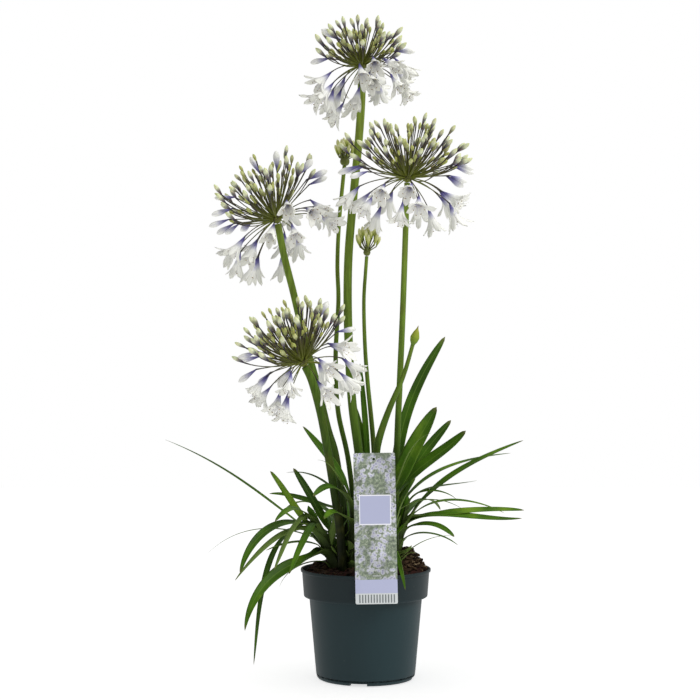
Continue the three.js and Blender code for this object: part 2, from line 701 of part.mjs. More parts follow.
// A strap blade: a shallow channel in section, thickest at the midrib, with a blunt point.
function makeLeaf(fan, leaf) {
  const { away, curve } = midrib(fan, leaf);
  const [width, turn, point] = leaf.slice(6);
  const shape = (key) => mix(LEAF.strap[key], LEAF.pointed[key], point);
  const flat = vec(-away.y, away.x, 0);
  const rings = [];
  for (let k = 0; k < LEAF.steps; k += 1) {
    const t = k / LEAF.steps;
    const middle = curve.getPoint(t);
    const tangent = curve.getTangent(t);
    const face = tangent.clone().cross(flat).normalize();
    const twist = rad(turn) * smooth(t, 0, LEAF.turned);
    const across = flat.clone().multiplyScalar(Math.cos(twist)).addScaledVector(face, Math.sin(twist));
    const normal = tangent.clone().cross(across).normalize();
    const late = Math.max(0, (t - shape("taper")) / (1 - shape("taper")));
    const taper = (1 - late ** shape("blunt")) ** shape("power");
    const half = (width / 2) * mix(LEAF.narrow, 1, smooth(t, 0, LEAF.wide)) * taper;
    const thick = mix(LEAF.thick, LEAF.thin, t) / 2;
    const edge = LEAF.channel * 2 * half;
    rings.push([
      middle.clone().addScaledVector(across, half).addScaledVector(normal, edge),
      middle.clone().addScaledVector(normal, thick),
      middle.clone().addScaledVector(across, -half).addScaledVector(normal, edge),
      middle.clone().addScaledVector(normal, -thick),
    ]);
  }
  rings.push([curve.getPoint(1)]);
  return loftSolid(rings, { flat: true });
}

// The rolled leaf bases that stand up out of the soil.
function makeNeck(fan, grow = 0) {
  const back = vec(0, 1, 0);
  return loftSolid([
    ring(neckAt(fan, -SOIL.socket - grow), UP, NECK.foot + grow, NECK.sides, back),
    ring(neckAt(fan, 0), UP, NECK.foot + grow, NECK.sides, back),
    ring(neckAt(fan, fan.top), UP, NECK.top + grow, NECK.sides, back),
    [neckAt(fan, fan.top + NECK.cap)],
  ]);
}

function makeFan(fan) {
  return wasm.Manifold.union([makeNeck(fan), ...fan.leaves.map((leaf) => makeLeaf(fan, leaf))]);
}

// ---- The plant --------------------------------------------------------------------------------------

const plant = new THREE.Group();
plant.name = "agapanthus";

function place(name, solid, finish) {
  const [color, roughness, metalness] = MATERIALS[finish];
  const material = new THREE.MeshStandardMaterial({ color, roughness, metalness });
  const mesh = new THREE.Mesh(toGeometry(solid), material);
  mesh.name = name;
  plant.add(mesh);
}

const holes = [
  ...Object.values(STALKS).map((stalk) => makeStalk(stalk, GAP)),
  ...Object.values(FANS).map((fan) => makeNeck(fan, GAP)),
  makeLabelSlot(),
];

place("pot", makePot(), "pot");
place("soil", makeSoil(holes), "soil");
place("label", makeLabel(), "label");
for (const [name, stalk] of Object.entries(STALKS)) {
  if (name !== "closed") place(`stalk_${name}`, makeStalk(stalk), "stalk");
}
place("stalk_closed", makeClosedStalk(), "stalk");
for (const name of Object.keys(UMBELS)) place(`umbel_${name}`, makeUmbel(name), "floret");
for (const name of Object.keys(BUD_HEADS)) place(`bud_head_${name}`, makeBudHead(name), "bud");
for (const [name, fan] of Object.entries(FANS)) place(`leaves_${name}`, makeFan(fan), "leaf");

export default plant;
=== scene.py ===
"""An agapanthus in its nursery pot, dressed round its solids.

Shapes are worked out in millimetres, in the solids' own frame: +Z up, with the label towards -Y.
Meshes, settings and materials are in metres.
"""

import math

import bmesh
import bpy
import numpy as np
from bpy.props import FloatProperty, FloatVectorProperty, IntProperty, PointerProperty
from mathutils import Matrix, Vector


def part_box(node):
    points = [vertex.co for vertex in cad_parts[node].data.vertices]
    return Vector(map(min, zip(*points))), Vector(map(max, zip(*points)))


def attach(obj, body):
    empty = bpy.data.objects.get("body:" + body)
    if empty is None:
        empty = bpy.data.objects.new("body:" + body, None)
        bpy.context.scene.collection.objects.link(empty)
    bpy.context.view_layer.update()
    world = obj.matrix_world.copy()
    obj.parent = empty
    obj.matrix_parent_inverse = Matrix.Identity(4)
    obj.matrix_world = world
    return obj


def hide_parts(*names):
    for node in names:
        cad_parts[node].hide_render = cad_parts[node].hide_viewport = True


bl_info = {
    "name": "Potted Agapanthus",
    "version": (1, 0, 0),
    "blender": (4, 5, 0),
    "location": "3D View > Sidebar > Agapanthus",
    "description": "Dresses an agapanthus in its pot: leaves, stalks, umbels, soil and label",
    "category": "Add Mesh",
}

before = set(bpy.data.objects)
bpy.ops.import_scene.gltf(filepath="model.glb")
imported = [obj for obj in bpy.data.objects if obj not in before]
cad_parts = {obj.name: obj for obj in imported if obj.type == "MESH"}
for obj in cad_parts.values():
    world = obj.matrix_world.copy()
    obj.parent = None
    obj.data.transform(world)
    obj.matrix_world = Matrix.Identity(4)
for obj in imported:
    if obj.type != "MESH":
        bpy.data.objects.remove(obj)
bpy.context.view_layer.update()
MM = 0.001
UP = np.array([0.0, 0.0, 1.0])
BACK = np.array([0.0, 1.0, 0.0])

# ---- Sizes, many of them shared with the solids, in millimetres --------------------------------


def table(keys, rows):
    """Rows of values under the same keys."""
    return {name: dict(zip(keys.split(), row)) for name, row in rows.items()}


CLEARANCE = 0.3
LEVEL = 143.0  # height from which stems are measured
SOCKET = 34.0  # how deep stems go into the soil

# The pot: heights of lip, shoulder, corner and floor, and radii of its bands, neck, foot and pad.
POT = {"lip": 4.0, "band_top": 83.2, "band_foot": 80.8, "shoulder": 107.0, "neck": 73.8,
       "foot": 64.6, "corner": 5.0, "floor": 3.0, "ring": 5.0, "pad": 12.0}
NOTCH = {"count": 4, "width": 24.0, "height": 3.4, "at": -99.6}
DRAIN = {"count": 4, "radius": 4.0, "circle": 42.0}
SOIL = {"edge": 138.5, "crown": 6.0, "ripple": 1.1, "gap": 0.7}
HEAPS = [(57, 7, 27, 19), (-48, 28, 9, 26)]  # place, height and reach of the heaps of bark
LABEL = {"width": 53.0, "height": 190.0, "thick": 0.8, "x": 13.1, "foot": 109.5, "corner": 2.0}
LEAN, SWAY = math.radians(9.0), math.radians(-0.9)  # how far the label leans back and sideways
PUNCH = (-0.7, 8.0, 1.8)  # the label's hole: place from its middle and its top, and radius
HOOK = {"width": 10.0, "drop": 26.0, "reach": 8.2, "bend": 1.6}  # the label's tongue
# Bark: the share that lies in a heap, the heap's place and reach, and how far out the rest lies.
BARK = {"heaped": 0.42, "heap": (55, 4), "reach": 25, "rest": 74, "limit": 75}

# Flower stalks: radius at foot and tip, and the points that each one passes.
STALKS = {
    "top": (5.9, 5.3, [(0, 14, 143), (-6.5, 17, 270), (-18, 20, 363), (-23.3, 23, 473),
                       (-22.6, 25, 550), (-16.5, 27.5, 625), (-9, 29.5, 705), (-5.6, 31, 755),
                       (-4.6, 32, 800)]),
    "left": (4.8, 4.6, [(-21, 4, 143), (-25.5, 8, 185), (-40, 17.5, 292), (-49.5, 21.5, 323),
                        (-65.5, 26, 388), (-79, 26, 435), (-96, 20, 507), (-107.5, 15, 553),
                        (-115.5, 11.5, 594)]),
    "right": (4.2, 3.7, [(38, -14, 143), (40.5, -16, 300), (44, -21, 387), (47.5, -26.5, 472),
                         (50.6, -32.5, 566), (53, -37.5, 643)]),
    "low": (5.6, 5.0, [(-30, -22, 143), (-33.4, -29, 196), (-37.6, -36, 226),
                       (-48.6, -49.5, 296), (-57.8, -59.5, 347), (-70, -68, 392),
                       (-77, -71, 407)]),
    "opening_left": (3.6, 2.6, [(-8, 30, 143), (-23, 38, 283), (-36.5, 42.5, 347),
                                (-39.7, 46.5, 418), (-36, 51, 496), (-37.4, 54, 541),
                                (-35, 57, 600), (-28, 61.5, 675)]),
    "opening_right": (3.8, 2.3, [(17, 28, 143), (11, 26.5, 297), (2.8, 25.6, 386),
                                 (-0.5, 25.3, 430), (-2.1, 24.6, 495), (0, 24.3, 530),
                                 (1.6, 24, 552)]),
    "closed": (5.0, 2.5, [(8, -20, 143), (13.5, -35, 297), (18, -38.5, 318), (29, -43, 350),
                          (48.5, -48, 397), (60, -51, 436)]),
}
SLIM_FROM = {"closed": 0.45}
# Painted shade: these stalks are darkened low down, where they stand among the leaves.
SHADED = {"left": -0.08, "low": -0.08}  # stalks that are darker among the leaves

# Open umbels. Flowers spread round a pole that points down, `lean` degrees towards +X, as far as
# `open` degrees from it. Buds spread round a pole that points up, `tilt` degrees towards -X, as far
# as `spread`, and `crown` is how long their stalks at the top are, against those at the sides.
# `budded` and `flowered` are how many of each a head has, against the counts that the user sets.
UMBELS = table("bud_stalk crown tilt spread budded flower_stalk lean open flowered turn seed", {
    "top": (53, 0.78, 3, 90, 1.15, 50, 17, 101, 1.05, 20, 3),
    "left": (74, 0.9, 32, 75, 1.05, 54, 36, 104, 0.95, 66, 11),
    "right": (68, 0.95, -6, 88, 1.3, 55, -6, 90, 0.8, 140, 23),
    "low": (66, 0.92, 27, 75, 1.4, 51, 32, 104, 0.75, 215, 37),
})
# Florets that are about to open: their angles from the pole and turns about it, in degrees.
READY = {
    "top": ((78, 345), (86, 200), (94, 10), (48, 200)),
    "left": ((62, 170), (67, 190), (71, 146), (76, 118), (81, 20), (10, 20), (27, 178),
             (37, 350), (47, 200), (60, 345), (66, 12)),
    "low": ((62, 172), (68, 196), (74, 20), (80, 148), (48, 184), (40, 20)),
    "right": ((74, 350), (77, 4), (81, 18), (84, 38), (87, 168), (91, 188), (94, 205)),
}
GOLDEN = 137.508  # degrees between one floret or leaf and the next
CORE = 6.4  # radius of an umbel's hub
BELOW = 56.0  # degrees about the flowers' pole that stay free for the head's stalk
ASIDE, TRIES = 9.0, 12  # degrees by which a floret is turned aside at each try
STRAY, TWIST = 6.0, 12.0  # degrees by which florets stray from and about their pole
SPARE = 3.0  # free space between a floret and a stalk that passes it
SUNK = 0.8  # how deep a bud sits on its stalk
YOUNG, READIED = 0.66, 0.9  # stalks of young and of opening buds, against those of closed buds
# Half widths and lengths of florets, from the least to the most grown.
CLOSED, GREEN, RIPE = ((2.2, 3.2), (11, 21)), ((1.9, 3.0), (9, 15)), ((3.7, 4.5), (27, 32))
# An open flower: lengths of tube and petal, throat radius, petal width, and the tube's share of V.
FLOWER = {"tube": 13.0, "throat": 4.0, "petal": 24.5, "width": 9.2, "opens": 0.36}
# A floret's stalk: its radius at the hub, and how much it slims and then swells to its end.
PEDICEL = {"root": 0.82, "slims": 0.24, "swells": 0.42}
# Flare, rise and fall of the petals in each of the flower shapes.
OPENINGS = [(12.5, 1.2, 0.36), (16.5, 1.3, 0.6), (9.0, 1.12, 0.2), (15.0, 1.25, 0.34),
            (11.0, 1.16, 0.48)]
# How each kind of floret is carried: random key, lift and drop of its end, how its heading turns
# up, nods and strays, the half width and reach that neighbouring stalks are kept clear of, how
# much stalk lengths vary, and how far a stalk's middle bows up.
KINDS = table("key lift drop rise nod loose half reach varied sag", {
    "bud": (0, 8, 0, 0.6, 0, 0.28, 3.5, 10.5, 0.17, -6.0),
    "flower": (100, 0, 7, 0, 0.9, 0.3, 20, 27.4, 0.14, 3.5),
    "young": (200, 5, 0, 0.5, 0, 0.28, 3, 8, 0.4, -4.5),
    "ready": (300, 2, 0, 0, 0.42, 0.12, 5, 16, 0.05, 1.5),
})
BUD_HEADS = table("core height seed", {"opening_left": (6.3, 40, 51), "opening_right": (4.62, 44, 63)})
HEAD_BUDS = 24  # florets in each of these heads
CLOSED_BUD = {"length": 24.0, "radius": 6.0}

# Leaf fans: place, height and lean of the neck, and leaves by compass direction, reach, tip height,
# height of the foot on the neck, slopes at foot and tip, width, turn about the midrib, and how
# pointed each is, from 0 for a strap to 1 for a long point.
FANS = {
    "left": (-34, -6, 76, (-0.5, 0), [
        (166, 241, 308, 35, 34, 20, 6, -20, 1), (222, 166, 151, 46, 38, -74, 13, -25, 0.3),
        (216, 161, 140, 37, 52, -50, 9, -30, 0.6), (189, 91, 271, 39, 41, 53, 10, -60, 0),
        (226, 117, 213, 58, 44, -36, 10, -20, 0.2), (233, 135, 155, 62, 30, -52, 11, 8, 0.4),
        (242, 130, 151, 44, 62, -46, 10, -10, 0.3), (213, 142, 75, 22, -6, -84, 17, -50, 0.7),
        (202, 118, 26, 60, -2, -83, 9, -40, 0.7), (193, 80, 121, 5, 26, -71, 4, -10, 1),
        (197, 99, 170, 24, 34, -21, 6, -20, 0.5)]),
    "back_left": (-28, 28, 94, (0, 0), [
        (167, 189, 154, 16, 33, -44, 4, -10, 1), (188, 68, 272, 22, 55, 57, 12, -65, 0),
        (163, 106, 235, 74, 7, -3, 9, -40, 0.3), (156, 85, 263, 90, 42, -10, 5, -20, 1),
        (112, 130, 176, 34, 45, -62, 13, 0, 0.3), (136, 118, 205, 50, 44, -42, 11, 0, 0.3)]),
    "front_left": (-14, -14, 90, (0, 0), [
        (200, 72, 330, 76, 80, 50, 14, -55, 0.3), (238, 89, 290, 84, 38, 2, 4, -10, 1),
        (241, 109, 246, 76, 54, -29, 11, -25, 0), (242, 84, 216, 62, 15, -36, 11, -20, 0)]),
    "back": (4, 48, 68, (0, 0), [
        (160, 12, 410, 58, 94, 84, 8, -70, 0), (166, 25, 366, 55, 88, 68, 10, -60, 0),
        (76, 124, 196, 38, 50, -55, 13, 0, 0.3), (104, 138, 150, 22, 42, -68, 12, 0, 0.3)]),
    "back_right": (36, 26, 84, (0, 0), [
        (30, 82, 446, 66, 92, 52, 14, 65, 0), (21, 84, 334, 60, 78, 47, 13, 60, 0),
        (350, 97, 322, 70, 88, 48, 17, 60, 0), (14, 165, 289, 60, 70, 5, 8, 20, 0.5),
        (58, 128, 206, 40, 48, -46, 12, 0, 0.3)]),
    "right": (30, 2, 88, (0.27, 0), [
        (358, 176, 310, 54, 57, 22, 11, 35, 0.4), (348, 116, 259, 72, 84, 13, 7, 15, 1),
        (345, 90, 235, 80, 84, -39, 7, 15, 0.6), (331, 165, 222, 46, 64, -23, 8, 20, 0.8),
        (357, 177, 219, 64, 9, -2, 13, 30, 0.2), (352, 174, 210, 33, 80, 7, 12, 30, 0.2),
        (333, 94, 188, 48, 30, -41, 9, 30, 0), (341, 94, 176, 27, 59, -35, 7, 10, 0.6)]),
    "front_right": (28, -28, 96, (0, 0), [
        (349, 64, 355, 73, 77, 60, 24, 72, 0.2), (337, 103, 226, 66, 52, -30, 5, 10, 1),
        (318, 106, 196, 4, 39, 2, 4, 10, 1), (310, 56, 171, 3, 10, -10, 5, 10, 1),
        (288, 66, 127, 24, 35, -75, 7, 40, 0.6), (310, 82, 324, 88, 58, 15, 4, 10, 1),
        (301, 63, 266, 31, 58, 44, 20, 65, 0)]),
}
# Leaves: where a blade's curve starts from the neck, its handles against its chord, the share of
# its length in which it turns and widens, how narrow it starts, where and how straps and pointed
# leaves close, and the fold. Then how sheaths step out on a neck, and their share of V.
LEAF = {"start": 3.0, "handle": 0.38, "turned": 0.45, "wide": 0.4, "narrow": 0.6,
        "strap": (0.55, 2.2, 0.5), "pointed": (0.2, 1.2, 0.8), "fold": 29.0,
        "layer": 0.35, "sheath": 0.15}
TURNED_OVER = {("left", 2), ("left", 5)}  # leaves that show their undersides
# Leaves with a tone of their own, from light at -0.3 to dark at 0.3: partly their own green, partly
# painted light and shade on leaves that stand lit or shaded; a draw shades the others.
SHADES = {("left", 1): 0.1, ("left", 3): -0.2, ("left", 6): 0.02, ("left", 7): 0.03,
          ("left", 8): 0.28, ("back_left", 1): 0.26, ("back_left", 2): 0.05, ("right", 0): 0.0,
          ("right", 4): -0.12, ("right", 5): -0.02, ("back_right", 2): 0.1,
          ("front_right", 4): 0.06, ("front_left", 3): 0.0}
NECK = {"foot": 8.0, "top": 4.6, "cap": 6.0}
STUBS = 9  # short leaves at a fan's foot

CAMERA = {"x": -0.0205, "lens": 86.4, "sensor": 36.0}
LAMP = {"angle": 40, "tilt": 40, "turn": 63}  # degrees across the sun, from overhead, and about Z
FLOOR = {"half": 3000.0, "level": -0.3}


def srgb(code):
    """Linear red, green and blue of a hex colour: each share of 255, raised by the sRGB curve."""
    share = np.array([int(code[i : i + 2], 16) / 255 for i in (1, 3, 5)])
    return tuple(np.where(share > 0.04045, ((share + 0.055) / 1.055) ** 2.4, share / 12.92))


# ---- Settings ----------------------------------------------------------------------------------


def colour(name, code, description):
    """A colour setting whose default is a hex colour."""
    return FloatVectorProperty(name=name, description=description, default=srgb(code),
                               subtype="COLOR", min=0, max=1)


def size(name, default, description):
    """A length setting in metres."""
    return FloatProperty(name=name, description=description, default=default,
                         unit="LENGTH", subtype="DISTANCE", min=0)


class PotSettings(bpy.types.PropertyGroup):
    """Sizes and colour of the nursery pot."""

    height: size("Height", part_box("pot")[1].z, "From the ground to the rim")
    rim: size("Rim radius", 0.085, "Outer radius of the lip")
    wall: size("Wall", 0.0016, "Thickness of the moulded wall")
    plastic: colour("Plastic", "#192e32", "Colour of the pot")


class SoilSettings(bpy.types.PropertyGroup):
    """Colours and pieces of the soil."""

    crumb: size("Crumb height", 0.0022, "How rough the peat is")
    chips: IntProperty(name="Bark pieces", description="Loose pieces of bark", default=420, min=0)
    chip: size("Bark size", 0.0062, "Half the length of a piece of bark")
    peat: colour("Peat", "#40201a", "Colour of the peat")
    bark: colour("Bark", "#433120", "Colour of the bark")


class LabelSettings(bpy.types.PropertyGroup):
    """Colours of the plant label's print."""

    paper: colour("Ground", "#cfd3d3", "Unprinted plastic")
    panel: colour("Panel", "#b4b8d4", "Plain panel and band")
    leaf: colour("Foliage", "#6f7f62", "Soft green of the printed foliage")
    bloom: colour("Blooms", "#7f7ba6", "Violet of the printed blooms")


class StalkSettings(bpy.types.PropertyGroup):
    """Colours of the flower stalks."""

    low: colour("Lower green", "#293b0d", "Near the soil")
    middle: colour("Middle green", "#577224", "Half way up")
    high: colour("Upper green", "#83983b", "Under the umbel")


class UmbelSettings(bpy.types.PropertyGroup):
    """Counts and colours of the florets."""

    buds: IntProperty(name="Buds", description="Closed buds in a head", default=46, min=1)
    young: IntProperty(name="Young buds", description="Green buds in a head", default=46, min=1)
    flowers: IntProperty(name="Flowers", description="Open flowers in a head", default=20, min=1)
    petal: size("Petal thickness", 0.0005, "Thickness of a petal")
    violet: colour("Tube", "#453d80", "Violet of the flowers' tubes")
    white: colour("Petal", "#f9f9f3", "White of the petals")
    green: colour("Bud green", "#b0b560", "Young buds")
    pale: colour("Bud white", "#dce0ba", "Buds about to open")


class LeafSettings(bpy.types.PropertyGroup):
    """Colours of the leaves."""

    upper: colour("Upper face", "#436910", "Green of the upper face")
    dark: colour("Shade", "#2c4a0a", "Darker green that the upper face varies to")
    under: colour("Underside", "#5f7636", "Paler green of the underside")
    foot: colour("Leaf base", "#1b2708", "Sheathing base")


class StageSettings(bpy.types.PropertyGroup):
    """Floor, light and camera."""

    floor: colour("Floor", "#fdfdfd", "Seamless paper")
    key: FloatProperty(name="Key light", description="Soft main light", default=2.5, min=0)
    sky: FloatProperty(name="Surround", description="Light from all round", default=0.42, min=0)
    distance: size("Camera distance", 2.197, "From the pot's axis")
    eye: size("Camera height", 0.428, "Above the ground")


SETTINGS = {
    "agapanthus_pot": PotSettings,
    "agapanthus_soil": SoilSettings,
    "agapanthus_label": LabelSettings,
    "agapanthus_stalks": StalkSettings,
    "agapanthus_umbels": UmbelSettings,
    "agapanthus_leaves": LeafSettings,
    "agapanthus_stage": StageSettings,
}

# ---- Numbers -----------------------------------------------------------------------------------


def mix(low, high, share):
    """The value a share of the way from low to high."""
    return low + (high - low) * share


def smooth(value, low, high):
    """The smooth step: 0 below low, 1 above high, and 3 t squared less 2 t cubed between them."""
    t = np.clip((value - low) / (high - low), 0, 1)
    return t * t * (3 - 2 * t)


def unit(vectors):
    """Vectors over their lengths."""
    return vectors / np.linalg.norm(vectors, axis=-1, keepdims=True)


def draw(number, seed):
    """A share from 0 to 1: the fraction of a large sine of a weighted sum of number and seed."""
    value = np.sin(number * 12.9898 + seed * 78.233) * 43758.5453
    return value - np.floor(value)


def jitter(number, seed, amount):
    """A draw spread evenly from minus the amount to the amount."""
    return (2 * draw(number, seed) - 1) * amount


def lattice(x, y, seed):
    """Smooth noise from 0 to 1: a draw at each whole step, blended between steps by the smooth step."""
    i, j = np.floor(x), np.floor(y)
    across, along = smooth(x - i, 0, 1), smooth(y - j, 0, 1)

    def corner(a, b):
        return draw(i + a + 57 * (j + b), seed)

    near = mix(corner(0, 0), corner(1, 0), across)
    far = mix(corner(0, 1), corner(1, 1), across)
    return mix(near, far, along)


def circle(count):
    """Angles of so many points, evenly round a circle from 0."""
    return np.arange(count) * 2 * math.pi / count


def about_z(radius, angle, height):
    """Points at a radius and angle about Z, and at a height."""
    return np.stack(np.broadcast_arrays(radius * np.cos(angle), radius * np.sin(angle), height), -1)


def bend(start, middle, end, t):
    """The quadratic curve from start to end whose ends both point at the middle."""
    return (1 - t) ** 2 * start + 2 * t * (1 - t) * middle + t**2 * end


def lengths(line):
    """How far along a line each of its points lies."""
    return np.concatenate([[0], np.cumsum(np.linalg.norm(np.diff(line, axis=0), axis=1))])


def even(line, count):
    """Points at even steps of length along a line of points."""
    length = lengths(line)
    at = np.linspace(0, length[-1], count)
    return np.stack([np.interp(at, length, line[:, i]) for i in range(3)], axis=1)


def through(points, count):
    """A line through points, at even steps of its length.

    Between two points it is the cubic whose slopes at both ends come from the points before and
    after, each weighed by the square root of its distance: a centripetal Catmull-Rom curve.
    """
    p = np.asarray(points, float)
    p = np.vstack([2 * p[0] - p[1], p, 2 * p[-1] - p[-2]])
    step = np.linalg.norm(np.diff(p, axis=0), axis=1) ** 0.5
    d0, d1, d2 = step[:-2, None], step[1:-1, None], step[2:, None]
    a, b, c, d = p[:-3], p[1:-2], p[2:-1], p[3:]
    leave = ((b - a) / d0 - (c - a) / (d0 + d1) + (c - b) / d1) * d1
    arrive = ((c - b) / d1 - (d - b) / (d1 + d2) + (d - c) / d2) * d1
    t = np.linspace(0, 1, 40, endpoint=False)[:, None, None]
    square = 3 * (c - b) - 2 * leave - arrive
    line = b + leave * t + square * t**2 + (leave + arrive - 2 * (c - b)) * t**3
    line = np.vstack([line.transpose(1, 0, 2).reshape(-1, 3), p[-2]])
    return even(line, count)


# ---- Shapes ------------------------------------------------------------------------------------


class Shape:
    """Points, each with a number, the tone, and arrays of faces with a UV for every corner."""

    def __init__(self, points, faces, uvs, tone=0.0):
        self.points = np.asarray(points, float).reshape(-1, 3)
        self.faces = faces
        self.uvs = uvs
        self.tone = np.array(np.broadcast_to(tone, len(self.points)), float)


def join(shapes):
    """Shapes side by side in one."""
    starts = np.cumsum([0] + [len(s.points) for s in shapes[:-1]])
    faces = [f + start for s, start in zip(shapes, starts) for f in s.faces]
    points, tone = (np.concatenate([getattr(s, part) for s in shapes]) for part in ("points", "tone"))
    return Shape(points, faces, [uv for s in shapes for uv in s.uvs], tone)


def repeat(shape, frames, origins, tones):
    """Copies of a shape, each with its tone: points times a frame's three columns, plus an origin."""
    placed = np.einsum("kij,nj->kni", frames, shape.points) + origins[:, None]
    tone = np.broadcast_to(tones, len(origins))[:, None] + shape.tone
    return batched(placed, len(origins), shape.faces, shape.uvs, tone.ravel())


def batched(points, count, faces, uvs, tone):
    """A shape of so many equal sheets of points, with the faces and UVs of one sheet for each."""
    start = (np.arange(count) * (points.size // 3 // count))[:, None, None]
    return Shape(points, [(f[None] + start).reshape(-1, f.shape[1]) for f in faces],
                 [np.tile(uv, (count, 1, 1)) for uv in uvs], tone)


def grid(points, loop=False, caps=(False, False), tone=0.0, v_at=None):
    """A surface over rows of points, or a batch of them.

    A looped one joins its last column to its first, and a cap closes its first or last row with one
    face. UV runs from 0 to 1 along the columns and along the rows, or takes V from v_at.
    """
    batch = points if points.ndim == 4 else points[None]
    count, rows, columns = batch.shape[:3]
    spans = columns if loop else columns - 1
    row, column = (x.ravel() for x in np.indices((rows - 1, spans)))
    after = (column + 1) % columns
    low, high = row * columns, (row + 1) * columns
    faces = [np.stack([low + column, low + after, high + after, high + column], -1)]
    u = np.stack([column, column + 1, column + 1, column], -1) / spans
    v_at = np.linspace(0, 1, rows) if v_at is None else v_at
    v = v_at[np.stack([row, row, row + 1, row + 1], -1)]
    uvs = [np.stack([u, v], -1)]
    ring = np.arange(columns)
    for closed, order, at in ((caps[0], ring[::-1], 0), (caps[1], ring, 1)):
        if closed:
            faces.append((order + at * (rows - 1) * columns)[None])
            uvs.append(np.stack([order / columns, np.full(columns, float(at))], -1)[None])
    return batched(batch, count, faces, uvs, tone)


def closed_grid(points, tone=0.0, v_at=None):
    """A grid that is looped and capped at both ends."""
    return grid(points, True, (True, True), tone, v_at)


def tubes(lines, radii, sides, side, tone=0.0):
    """Round tubes along lines: rings across the line, whose first points lie towards side."""
    along = unit(np.gradient(lines, axis=1))
    v = unit(np.cross(along, side[:, None]))
    u = np.cross(v, along)
    angle = circle(sides)[:, None]
    out = u[:, :, None] * np.cos(angle) + v[:, :, None] * np.sin(angle)
    return closed_grid(lines[:, :, None] + out * np.broadcast_to(radii, out.shape[:3])[..., None], tone)


def lathe(profile, angles):
    """A profile of radius and height turned about Z through the angles."""
    return grid(about_z(profile[:, 0, None], angles, profile[:, 1, None]), True)


def turned(corners, steps=5, ease=0.7):
    """A profile through corners of radius, height and rounding.

    Each corner is a quadratic blend of three points: before it, at it and after it. A further point
    beside each blend keeps the shading flat on the straight runs.
    """
    at, rounding = np.split(np.array(corners, float), [2], 1)
    before, after = unit(np.roll(at, 1, 0) - at), unit(np.roll(at, -1, 0) - at)
    t = np.linspace(0, 1, steps)[None, :, None]
    enter, leave = at + before * rounding, at + after * rounding
    blend = bend(enter[:, None], at[:, None], leave[:, None], t)
    ends = [(end + way * rounding * ease)[:, None] for end, way in ((enter, before), (leave, after))]
    line = np.concatenate([ends[0], blend, ends[1]], 1).reshape(-1, 2)
    keep = np.concatenate([[True], np.linalg.norm(np.diff(line, axis=0), axis=1) > 1e-4])
    return line[keep]


def to_mesh(name, shape, merge=False, flat=False):
    """A Blender mesh of a shape, in metres, with its UV map and its tone as an attribute."""
    mesh = bpy.data.meshes.new(name)
    sizes = np.concatenate([np.full(len(f), f.shape[1]) for f in shape.faces])
    corners = np.concatenate([f.ravel() for f in shape.faces])
    starts = np.concatenate([[0], np.cumsum(sizes)[:-1]])
    mesh.vertices.add(len(shape.points))
    mesh.vertices.foreach_set("co", (shape.points * MM).astype(np.float32).ravel())
    mesh.loops.add(len(corners))
    mesh.loops.foreach_set("vertex_index", corners.astype(np.int32))
    mesh.polygons.add(len(sizes))
    mesh.polygons.foreach_set("loop_start", starts.astype(np.int32))
    mesh.update(calc_edges=True)
    uvs = np.concatenate([x.reshape(-1, 2) for x in shape.uvs])
    mesh.uv_layers.new(name="UVMap").uv.foreach_set("vector", uvs.astype(np.float32).ravel())
    tones = mesh.attributes.new("tone", "FLOAT", "POINT")
    tones.data.foreach_set("value", shape.tone.astype(np.float32))
    if merge:
        work = bmesh.new()
        work.from_mesh(mesh)
        bmesh.ops.remove_doubles(work, verts=work.verts, dist=0.01 * MM)
        work.to_mesh(mesh)
        work.free()
    mesh.polygons.foreach_set("use_smooth", np.full(len(mesh.polygons), not flat))
    mesh.update()
    return mesh


def linked(name, data):
    """A new object in the scene."""
    made = bpy.data.objects.new(name, data)
    bpy.context.scene.collection.objects.link(made)
    return made


def place(name, form, material, slot, *nodes, **finish):
    """The piece of this shape or mesh, on the plant's one body, standing for the nodes given."""
    mesh = to_mesh(name, form, **finish) if isinstance(form, Shape) else form
    mesh.name = name
    piece = linked(name, mesh)
    mesh.materials.clear()
    mesh.materials.append(material)
    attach(piece, "root")
    if nodes:
        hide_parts(*nodes)
    return piece


def cut(mesh, cutters):
    """The mesh less the cutters, by an exact Boolean."""
    body = linked("cut_body", mesh)
    tools = [linked("cutter", to_mesh("cutter", shape)) for shape in cutters]
    for tool in tools:
        boolean = body.modifiers.new("cut", "BOOLEAN")
        boolean.operation = "DIFFERENCE"
        boolean.solver = "EXACT"
        boolean.object = tool
    bpy.context.view_layer.update()
    ready = body.evaluated_get(bpy.context.evaluated_depsgraph_get())
    done = bpy.data.meshes.new_from_object(ready)
    for extra in [body, *tools]:
        bpy.data.objects.remove(extra)
    return done


# ---- Materials ---------------------------------------------------------------------------------


def rgba(shade):
    """A hex colour or a colour setting, linear and with its alpha."""
    return (*(srgb(shade) if isinstance(shade, str) else shade), 1)


def wire(node, inputs):
    """Sets a node's inputs, or links them where a socket or another node is given.

    They are given by name or number, or in a row. A Map Range's row is its value, the two ends that
    the value runs between, and what these become.
    """
    for name, value in enumerate(inputs) if isinstance(inputs, list) else inputs.items():
        socket = node.inputs[name]
        if isinstance(value, bpy.types.Node):
            value = value.outputs[2 if value.bl_idname == "ShaderNodeMix" else 0]
        if isinstance(value, bpy.types.NodeSocket):
            node.id_data.links.new(value, socket)
        else:
            socket.default_value = rgba(value) if socket.type == "RGBA" else value


def add(tree, kind, inputs=None, stops=None, **settings):
    """A node with its settings, its inputs set or linked, and the colour stops of a ramp."""
    node = tree.nodes.new(f"ShaderNode{kind}")
    if kind == "Mix":
        node.data_type = "RGBA"
    for name, value in settings.items():
        setattr(node, name, value)
    wire(node, inputs or {})
    if stops:
        ramp = node.color_ramp.elements
        for element, (at, shade) in ((ramp[0], stops[0]), (ramp[1], stops[-1])):
            element.position, element.color = at, rgba(shade)
        for at, shade in stops[1:-1]:
            ramp.new(at).color = rgba(shade)
    return node


